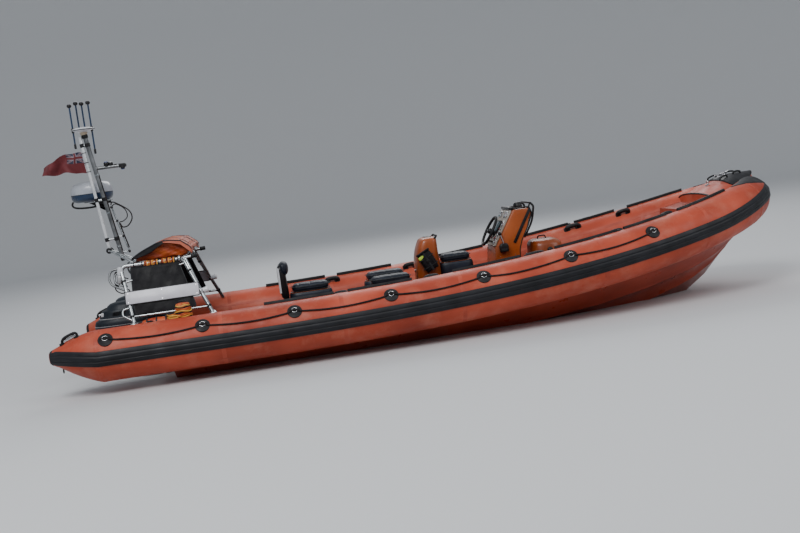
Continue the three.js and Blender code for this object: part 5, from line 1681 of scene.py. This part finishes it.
def foilRing(front, back, y, z, half):
    ring = []
    for turn in turns(30):
        share = (1 - cos(turn)) / 2
        thick = half * 2.6 * (0.2969 * sqrt(share) - 0.126 * share - 0.3516 * share ** 2 + 0.2843 * share ** 3
                              - 0.1036 * share ** 4) * 2
        ring.append(Vector((mix(front, back, share), y + (thick if turn < pi else -thick), z)))
    return ring


leg = dict(column=((0.346, -3.135, -3.545, 0.125), (0.3, -3.145, -3.53, 0.118), (0.22, -3.175, -3.5, 0.085),
                   (0.1, -3.185, -3.48, 0.07), (-0.05, -3.19, -3.47, 0.055), (-0.2, -3.19, -3.47, 0.047),
                   (-0.325, -3.19, -3.47, 0.044)),
           low=((-0.337, -3.185, -3.475, 0.04), (-0.4, -3.19, -3.46, 0.033), (-0.46, -3.17, -3.47, 0.03),
                (-0.5, -3.15, -3.47, 0.03)),
           skeg=((-0.55, -3.19, -3.43, 0.012), (-0.62, -3.25, -3.44, 0.009), (-0.68, -3.3, -3.445, 0.007),
                 (-0.722, -3.345, -3.44, 0.005), (-0.735, -3.375, -3.425, 0.002)),
           plate=((-3.12, 0.02), (-3.15, 0.055), (-3.25, 0.085), (-3.45, 0.095), (-3.6, 0.085), (-3.62, 0.06)))


def makeLegs(word, side):
    y = side * engine["y"]
    shape = Shape()
    for key in ("column", "low", "skeg"):
        shape.loft([foilRing(front, back, y, z, half) for z, front, back, half in leg[key]], "engine")
    rows = ((0.345, 0.345, 0.16), (0.35, 0.352, 0.168), (0.366, 0.376, 0.196), (0.3735, 0.38, 0.2),
            (0.3747, 0.376, 0.196))
    shape.loft([powerRing(-3.345, y, z, a, b) for z, a, b in rows], "engine")
    outline = [(x, y + half) for x, half in leg["plate"]] + [(x, y - half) for x, half in reversed(leg["plate"])]
    shape.prism(outline, -0.338, -0.326, "engine", axis="z", edge=0.004)
    shape.turned(mm(2, 0, 22, 6, 40, 28, 50, 70, 53, 130, 53, 300, 50, 370, 47, 398, 2, 398), (-3.052, y, -0.53),
                 (-1, 0, 0), "engine", round=30)
    for z, front, back, half in ((0.02, -3.21, -3.42, 0.064), (-0.26, -3.21, -3.42, 0.047)):
        for reach in (-1, 1):
            shape.box((back, y + reach * half - 0.004, z - 0.012), (front, y + reach * half + 0.004, z + 0.012),
                      "engine")
    shape.make("engineLeg_" + word, "engine_" + word, ("engine_leg_" + word,), "engine_paint", 38)
    trim = Shape()
    trim.prism(mm(-3520, -336, -3605, -336, -3600, -347, -3525, -350), y - 0.016, y + 0.016, "zinc", edge=0.003)
    for reach in (-1, 1):
        for k in range(4):
            x = -3.27 - 0.035 * k
            trim.box((x - 0.009, y + reach * 0.0385 - 0.004, -0.425),
                     (x + 0.009, y + reach * 0.0385 + 0.004, -0.375), "plastic", edge=0.002)
    trim.tube([(-3.1, y - 0.165, 0.362), (-3.04, y - 0.15, 0.362)], 0.01, "plastic", round=10)
    for reach in (-1, 1):
        for x in (-3.22, -3.44):
            trim.turned(mm(11, -4, 11, 4, 6, 7, 1, 7), (x, y + reach * 0.075, 0.16), (0, reach, 0), "steel", round=6)
    trim.make("legTrim_" + word, "engine_" + word, slot="engine_paint", angle=40)


for word, side in sides:
    makeLegs(word, side)


def makeBrackets(word, side):
    y = side * engine["y"]
    softened("clampBracket_" + word, ["clamp_bracket_" + word], "engine", edge=0.005)
    softened("swivelBracket_" + word, ["swivel_bracket_" + word], "engine", edge=0.004)
    bolts = []
    for reach in (-1, 1):
        for z in (0.1, 0.0, -0.1):
            bolts.append(((-2.905, y + reach * 0.127, z), (0, reach, 0)))
    head = Shape().turned(mm(13, -4, 13, 6, 9, 9, 0.5, 9), (0, 0, 0), upAxis, "steel", round=6)
    scatter("bracketBolts_" + word, bolts, head, "steel", bodyOf("clamp_bracket_" + word), 30)


for word, side in sides:
    makeBrackets(word, side)


propeller = dict(blades=3, radius=0.17, hub=((0.002, 0.0), (0.047, 0.0), (0.0475, 0.02), (0.046, 0.08),
                                             (0.041, 0.125), (0.037, 0.149),
                                             (0.031, 0.149), (0.029, 0.138), (0.002, 0.138)))


def makePropellers(word, side):
    y = side * engine["y"]
    shape = Shape()
    shape.turned(propeller["hub"], (-3.4503, y, -0.53), (-1, 0, 0), "steel", round=36)
    for base in turns(propeller["blades"]):
        rings = []
        for share in np.linspace(0, 1, 12):
            radius = mix(0.036, propeller["radius"], share)
            chord = 0.105 * sin(pi * (0.18 + 0.8 * share)) ** 0.55 + 0.012
            pitch = atan2(0.055, radius) + 0.12
            sweep = base + side * 0.42 * share ** 2
            middle = -3.52 - 0.022 * share
            thick = mix(0.0065, 0.0018, share)
            ring = []
            for turn in turns(18):
                along, off = cos(turn) * chord / 2, sin(turn) * thick
                x = middle + along * sin(pitch) + off * cos(pitch)
                swing = sweep + side * (along * cos(pitch) - off * sin(pitch)) / radius
                ring.append(Vector((min(-3.4525, x), y + radius * cos(swing), -0.53 + radius * sin(swing))))
            rings.append(ring)
        shape.loft(rings, "steel")
    shape.turned(mm(14, 0, 14, 12, 8, 14, 2, 14), (-3.5885, y, -0.53), (-1, 0, 0), "zinc", round=6)
    shape.make("propeller_" + word + "_blades", "propeller_" + word, ("propeller_" + word,), "propeller_steel", 50)


for word, side in sides:
    makePropellers(word, side)
print("engines ready")


# Mast: raked tube and stay, rail with cables, radar, light bar and aerials

mast = dict(foot=(-3.48, 1.31), head=(-3.7, 2.79), knuckle=(-3.615, 1.435), tube=0.025, stay=0.0185,
            ties=(1.56, 2.02, 2.65), clips=(1.4, 1.58, 1.76, 1.92), bands=(1.47, 1.86, 2.3))


def mastX(z):
    return mast["foot"][0] + (mast["head"][0] - mast["foot"][0]) * (z - 1.31) / 1.48


def stayX(z):
    return mast["knuckle"][0] - 0.135 * (z - 1.435) / 1.315


def railX(z):
    return mastX(z) + mix(0.096, 0.048, (z - 1.38) / 0.56)


def makeMast():
    shape, dark = Shape(), Shape()
    shape.tube([(mastX(z), 0, z) for z in np.linspace(1.312, 2.775, 10)], mast["tube"], "paintedTube", round=22)
    shape.tube([(stayX(z), 0, z) for z in np.linspace(1.435, 2.75, 10)], mast["stay"], "brightTube", round=20)
    for z in mast["ties"]:
        shape.tube([(mastX(z), 0, z), (stayX(z), 0, z)], 0.011, "alloy")
        for x, radius in ((mastX(z), mast["tube"]), (stayX(z), mast["stay"])):
            dark.turned([(radius, -0.022), (radius + 0.006, -0.019), (radius + 0.006, 0.019), (radius, 0.022)],
                        (x, 0, z), (-0.13, 0, 1), "plastic", round=20)
    for z in mast["bands"]:
        dark.turned([(mast["tube"], -0.012), (mast["tube"] + 0.004, -0.01), (mast["tube"] + 0.004, 0.01),
                     (mast["tube"], 0.012)],
                    (mastX(z), 0, z), (-0.15, 0, 1), "alloy", round=20)
    shape.tube([(railX(z), 0, z) for z in np.linspace(1.38, 1.94, 6)], 0.01, "alloy")
    for z in mast["clips"]:
        shape.tube([(mastX(z), 0, z), (railX(z), 0, z)], 0.007, "alloy", round=10)
        dark.box((railX(z) - 0.014, -0.014, z - 0.012), (railX(z) + 0.014, 0.014, z + 0.012), "plastic")
    knuckle = Vector((mast["knuckle"][0], 0, mast["knuckle"][1]))
    for y in (-1, 1):
        dark.turned(mm(2, -53.5, 18, -53.5, 24, -48, 24, -6, 2, -6), knuckle, (0, y, 0), "plastic", round=28)
        for turn in turns(14):
            spot = knuckle + Vector((0.025 * cos(turn), -y * 0.045, 0.025 * sin(turn)))
            dark.box(spot - Vector((0.004, 0.006, 0.004)), spot + Vector((0.004, 0.006, 0.004)), "plastic",
                     edge=0.001, turn=Matrix.Rotation(-turn, 3, "Y"))
    shape.tube([(mast["foot"][0] - 0.002, 0, 1.335), (knuckle.x, 0, knuckle.z)], 0.02, "alloy", round=16)
    shape.turned(mm(2, -12, 22, -12, 30, 0, 30, 30, 26, 40, 2, 40),
                 (mast["foot"][0], 0, 1.312), (-0.15, 0, 1), "plastic", round=24)
    shape.box((-3.702, -0.012, 2.004), (-3.556, 0.42, 2.016), "alloy", edge=0.003)
    shape.box((-3.84, 0.16, 2.004), (-3.66, 0.42, 2.016), "alloy", edge=0.003)
    dark.prism([(mastX(1.86) - 0.012, 1.86), (mastX(1.9) - 0.012, 1.9), (-3.8, 2.003), (-3.6, 2.003)],
               0.196, 0.206, "plastic", edge=0.001)
    for y in (0.05, 0.2, 0.38):
        dark.box((-3.7, y - 0.006, 1.975), (-3.57, y + 0.006, 2.004), "plastic", edge=0.002)
    shape.tube([(mastX(1.84), 0.0, 1.84), (-3.63, 0.3, 2.001)], 0.01, "alloy")
    dark.tube(curved([(-3.985, 0.29, 2.035), (-4.0, 0.29, 1.998), (-3.962, 0.29, 1.964), (-3.832, 0.29, 1.95),
                      (-3.7, 0.28, 1.958), (-3.6, 0.24, 1.985)], 5), 0.011, "rubber", round=12)
    shape.turned(mm(30, 0, 34, 4, 42, 30, 68, 50, 70, 58, 2, 58), (-3.7, 0, 2.762), (0, 0, 1), "beige", round=32)
    dark.turned(mm(25, -30, 34, -26, 36, 0, 34, 12, 25, 14), (mastX(2.755), 0, 2.755),
                (-0.15, 0, 1), "rubber", round=24)
    shape.make("mastFrame", "mast", ("mast_frame",), "frame_alloy", 45)
    dark.make("mastClamps", "mast", slot="instrument_black", angle=45)
    loop = [(railX(1.94) - 0.001, 0, 1.946)] + [
        (railX(1.94) - 0.001 + dx, y, 1.946 + dz) for dx, y, dz in
        ((0.02, -0.006, 0.031), (0.075, -0.012, 0.006), (0.19, -0.014, -0.084), (0.215, -0.012, -0.174),
         (0.16, -0.01, -0.254), (0.095, -0.004, -0.264))]
    loop += [(railX(z) + reach, 0, z + dz) for z, reach, dz in
             ((1.717, 0.019, 0.01), (1.62, 0.015, 0), (1.53, 0.015, 0), (1.44, 0.015, 0))]
    cable = Shape()
    cable.tube(curved(loop, 6), 0.007, "cord")
    inside = [(railX(1.93), 0.012, 1.93), (railX(1.93) + 0.05, 0.02, 1.95), (railX(1.9) + 0.13, 0.024, 1.885),
              (railX(1.83) + 0.135, 0.024, 1.8), (railX(1.76) + 0.07, 0.02, 1.75),
              (railX(1.73) + 0.012, 0.013, 1.735), (railX(1.66), 0.014, 1.66), (railX(1.5), 0.014, 1.5),
              (railX(1.4), 0.013, 1.4)]
    cable.tube(curved(inside, 6), 0.0055, "cord", round=10)
    along = [(mastX(z) - 0.004 * sin(5 * z), 0.031 + 0.002 * sin(7 * z), z) for z in np.linspace(1.42, 2.74, 24)]
    cable.tube(curved(along, 2), 0.006, "cord", round=10)
    cable.tube([(mastX(z) + 0.026, -0.018, z) for z in np.linspace(1.42, 2.3, 14)], 0.005, "cord", round=10)
    cable.make("mastCable", "mast", ("mast_cable",), "instrument_black", 60)


makeMast()

radar = dict(centre=(-3.759, 0.29), base=2.0163,
             rows=((0.0, 0.17), (0.004, 0.19), (0.02, 0.22), (0.045, 0.2345), (0.088, 0.238)),
             dome=((0.086, 0.232), (0.0885, 0.2375), (0.11, 0.238), (0.15, 0.234), (0.18, 0.223), (0.205, 0.2),
                   (0.22, 0.165), (0.23, 0.115), (0.235, 0.06), (0.2352, 0.002)))


def makeMastHead():
    shape = Shape()
    centre = (radar["centre"][0], radar["centre"][1], radar["base"])
    shape.turned([(0.002, 0.0)] + [(r, rise) for rise, r in radar["rows"]] + [(0.002, 0.088)], centre, upAxis, "navy",
                 round=56)
    shape.turned([(0.002, 0.086)] + [(r, rise) for rise, r in radar["dome"]], centre, upAxis, "dome", round=56)
    shape.turned(mm(238.5, 84.5, 240, 86.5, 240, 89.5, 238.5, 91.5), centre, upAxis, "seam", round=56)
    shape.make("radarDome", "mast", ("radar_dome",), "board_white", 32)
    bar = Shape()
    bar.tube([(mastX(2.375), 0, 2.375), (-3.285, 0, 2.375)], 0.019, "paintedTube", round=14)
    bar.box((-3.635, -0.016, 2.361), (-3.6, 0.016, 2.389), "plastic")
    bar.prism(mm(-3370, 2352, -3300, 2352, -3282, 2375, -3300, 2398, -3370, 2398), -0.022, 0.022, "plastic",
              edge=0.003)
    for x, z, radius, look in ((-3.505, 2.409, 0.03, "plastic"), (-3.455, 2.407, 0.024, "rubber"),
                               (-3.33, 2.352, 0.024, "plastic")):
        up = 1 if z > 2.375 else -1
        bar.turned([(0.012, -radius * 0.95), (radius * 0.8, -radius * 0.9), (radius, -radius * 0.5),
                    (radius, radius * 0.5), (radius * 0.8, radius * 0.78), (0.002, radius * 0.82)],
                   (x, 0, z), (0, 0, up), look, round=24)
        bar.turned([(radius * 0.75, 0), (radius * 0.7, 0.005), (0.002, 0.007)], (x, 0, z + up * radius * 0.8),
                   (0, 0, up), "lens" if look == "plastic" else "clearLens", round=20)
        bar.tube([(x, -0.014, z - 0.5 * up * radius), (x, -0.014, 2.375)], 0.005, "steel", round=8)
    bar.box((-3.425, -0.02, 2.386), (-3.385, 0.02, 2.4), "plastic", edge=0.005)
    bar.make("lightBar", "mast", ("light_bar",), "instrument_black", 42)
    plate = Shape()
    plate.turned(mm(2, -24, 60, -24, 104, -14, 122, -2, 125, 3, 125, 13, 118, 21, 85, 29, 40, 33, 2, 34),
                 (-3.7, 0, 2.8203), upAxis, "white", round=44)
    plate.turned(mm(124.5, 1, 128.5, 3, 128.5, 8, 124.5, 10), (-3.7, 0, 2.8203), upAxis, "plastic", round=44)
    for dx, y, below, above in ((-0.108, -0.03, 0.21, 0.305), (-0.054, 0.084, 0, 0.335), (0.014, 0.06, 0, 0.322),
                                (0.1, -0.03, 0.29, 0.318)):
        x, low, high = -3.7 + dx, 2.8303 - below, 2.8203 + above
        plate.tube([(x, y, low), (x, y, high - 0.03)], 0.0092, "navy", round=14)
        plate.turned(mm(8, -12, 21, -4, 27, 6, 26, 20, 17, 30, 2, 32),
                     (x, y, high - 0.032), upAxis, "plastic", round=20)
        plate.turned(mm(16, 28, 13, 34, 2, 36), (x, y, high - 0.034), upAxis, "white", round=16)
        plate.turned(mm(20, 0, 20, 8, 12, 20, 8, 22), (x, y, 2.834), upAxis, "plastic", round=18)
        if below:
            plate.turned(mm(8, 0, 13, 4, 13, 50, 10, 56, 2, 56), (x, y, low), upAxis, "plastic", round=18)
            plate.turned(mm(8, -22, 16, -18, 16, 0, 8, 0), (x, y, 2.8203), upAxis, "plastic", round=18)
    plate.make("antennaPlate", "mast", ("antenna_plate",), "board_white", 40)


makeMastHead()


# Red ensign streaming aft: a fine grid shaped by its own folds, its colours in an attribute

ensign = dict(columns=96, rows=48, thick=0.0016,
              top=((-0.0, 2.58), (0.4, 2.578), (0.72, 2.52), (1.0, 2.45)),
              low=((0.0, 2.335), (0.42, 2.366), (0.68, 2.362), (1.0, 2.362)),
              fly=-4.203, red=(0.105, 0.004, 0.008), blue=(0.004, 0.007, 0.03), pale=(0.2, 0.165, 0.195))


def flagColour(s, t):
    if s > 0.42 or t < 0.5:
        return ensign["red"]
    u, v = (s / 0.42 - 0.5) * 2, ((t - 0.5) / 0.5 - 0.5)
    if abs(u) < 0.1 or abs(v) < 0.1:
        return ensign["red"]
    if abs(u) < 0.17 or abs(v) < 0.17:
        return ensign["pale"]
    slant = min(abs(v - u / 2), abs(v + u / 2)) / hypot(1, 0.5)
    if slant < 0.028:
        return ensign["red"]
    return ensign["pale"] if slant < 0.088 else ensign["blue"]


def makeEnsign():
    columns, rows = ensign["columns"], ensign["rows"]
    front, back, tints = [], [], []
    for i in range(columns + 1):
        s = i / columns
        for j in range(rows + 1):
            t = j / rows
            low, high = eased(ensign["low"], s, 1), eased(ensign["top"], s, 1)
            z = mix(low, high, t)
            x = mix(stayX(z) - mast["stay"] * 0.9, ensign["fly"], s)
            grow = min(1.0, s * 4)
            wave = (0.03 * sin(11.5 * s + 2.6 * t + 0.4) + 0.011 * sin(23 * s - 3.2 * t)) * grow
            x += 0.012 * sin(8 * t + 5 * s) * grow * (1 - s) - 0.02 * s * (1 - t)
            z += 0.008 * sin(14 * s + 1.0) * grow
            front.append(Vector((x, wave - ensign["thick"] / 2, z)))
            back.append(Vector((x, wave + ensign["thick"] / 2, z)))
            tints.append(flagColour(s, t))
    count, width = len(front), rows + 1
    faces = []
    for i in range(columns):
        for j in range(rows):
            a = i * width + j
            faces.append((a, a + width, a + width + 1, a + 1))
            faces.append((count + a, count + a + 1, count + a + width + 1, count + a + width))
    edge = [i * width for i in range(columns + 1)] + [columns * width + j for j in range(1, rows + 1)]
    edge += [i * width + rows for i in range(columns - 1, -1, -1)] + [j for j in range(rows - 1, 0, -1)]
    for a, b in zip(edge, edge[1:] + edge[:1]):
        faces.append((a, b, count + b, count + a))
    mesh = bpy.data.meshes.new("redEnsign")
    mesh.from_pydata([tuple(v) for v in front + back], [], faces)
    tint = mesh.color_attributes.new("flagTint", "FLOAT_COLOR", "POINT")
    for k, colour in enumerate(tints + tints):
        tint.data[k].color = (*colour, 1)
    mesh.materials.append(material("flag"))
    piece = finished(mesh, "redEnsign", "mast", ("ensign",), 60)
    halyard = Shape()
    for z in (2.35, 2.455, 2.565):
        halyard.ring((stayX(z), 0, z), (-0.1, 0, 1), mast["stay"] + 0.004, 0.004, "cord", round=18, section=6)
    halyard.tube([(stayX(z) - mast["stay"] - 0.004, 0, z) for z in np.linspace(2.33, 2.585, 8)], 0.0035, "white",
                 round=8)
    halyard.make("ensignTies", "mast", slot="rope_yellow", angle=60)


makeEnsign()
print("mast ready")


# Hull: softened body with spray rails

spray = ((-2.95, 2.75, -0.085, -0.02), (-2.95, 2.55, -0.24, -0.1))


def makeHull():
    softened("hullBody", ["hull"], "hullPaint", edge=0.004, limit=55)
    work = bmesh.new()
    work.from_mesh(frame["nodes"]["hull"].data)
    tree = BVHTree.FromBMesh(work)
    work.free()
    shape = Shape()
    for side in (-1, 1):
        for start, end, lowAft, lowFore in spray:
            rings = []
            for x in np.linspace(start, end, 60):
                z = mix(lowAft, lowFore, ((x - start) / (end - start)) ** 2.5)
                hit, normal, *_ = tree.ray_cast(Vector((x, side * 3.0, z)), Vector((0, -side, 0)), 4.0)
                if hit is None or abs(hit.y) < 0.03:
                    continue
                normal = Vector(normal) * (1 if normal.y * side > 0 else -1)
                down = Vector((0, -normal.z, normal.y)).normalized() * (-side)
                fade = min(1.0, (end - x) / 0.5 + 0.1)
                rings.append([hit - normal * 0.004 + down * 0.016, hit + normal * 0.01 * fade + down * 0.014,
                              hit + normal * 0.002 - down * 0.022, hit - normal * 0.005 - down * 0.022])
            if len(rings) > 2:
                shape.loft(rings, "hullPaint")
    shape.make("hullSprayRails", "boat", slot="hull_skin", angle=40)


makeHull()

deck = dict(top=0.2322, mat=0.004, pitch=0.052,
            mats=((-2.74, 1.5, 0.52, 0.78), (-2.74, 1.5, -0.78, -0.52), (-2.74, -2.54, -0.44, 0.44),
                  (-1.86, -1.72, -0.44, 0.44), (-1.1, -0.84, -0.44, 0.44), (0.54, 0.7, -0.44, 0.44)),
            straps=((0.305, 0.0, 0.16), (-0.51, -0.34, 0.15), (-0.51, 0.34, 0.15), (-1.42, 0.0, 0.16)))


def makeDeck():
    softened("deckPlate", ["cockpit_deck"], "tread", edge=0.002)
    shape, studs = Shape(), []
    for x0, x1, y0, y1 in deck["mats"]:
        shape.box((x0, y0, deck["top"] - 0.001), (x1, y1, deck["top"] + deck["mat"]), "rubber", edge=0.003)
        columns, rows = int((x1 - x0 - 0.04) / deck["pitch"]), int((y1 - y0 - 0.04) / deck["pitch"])
        for i in range(columns + 1):
            for j in range(rows + 1):
                x = x0 + 0.02 + (x1 - x0 - 0.04) * (i + 0.5 * (j % 2)) / (columns + 0.5)
                studs.append(((x, y0 + 0.02 + (y1 - y0 - 0.04) * j / rows, deck["top"] + deck["mat"] - 0.0005),
                              (0, 0, 1)))
    shape.make("deckMats", "boat", slot="deck_tread", angle=40)
    stud = Shape().turned(mm(9, 0, 7, 3, 0.5, 3.4), (0, 0, 0), upAxis, "rubber", round=7)
    scatter("deckStuds", studs, stud, "rubber", angle=30)
    straps, eyes = Shape(), Shape()
    for x, y, half in deck["straps"]:
        for reach in (-1, 1):
            for dx in (-0.12, 0.12):
                base = Vector((x + dx, y + reach * (half + 0.11), deck["top"] + deck["mat"] * 0.5))
                points = [base + Vector((ddx, 0, dz)) for ddx, dz in
                          ((-0.075, 0.002), (-0.06, 0.036), (0, 0.06), (0.06, 0.036), (0.075, 0.002))]
                straps.tube(curved(points, 4), 0.02, "cord", round=8, squash=0.16)
    for x in (-2.6, -0.1, 1.6):
        for reach in (-1, 1):
            eyes.turned(mm(28, -2, 28, 3, 20, 5, 2, 5), (x, reach * 0.48, deck["top"]), upAxis, "steel")
            eyes.ring((x, reach * 0.48, deck["top"] + 0.014), (0, 1, 0.3), 0.014, 0.004, "steel", round=20)
    straps.make("footStraps", "boat", slot="deck_tread", angle=60)
    eyes.make("deckEyes", "boat", slot="frame_alloy", angle=50)


makeDeck()
print("hull ready")
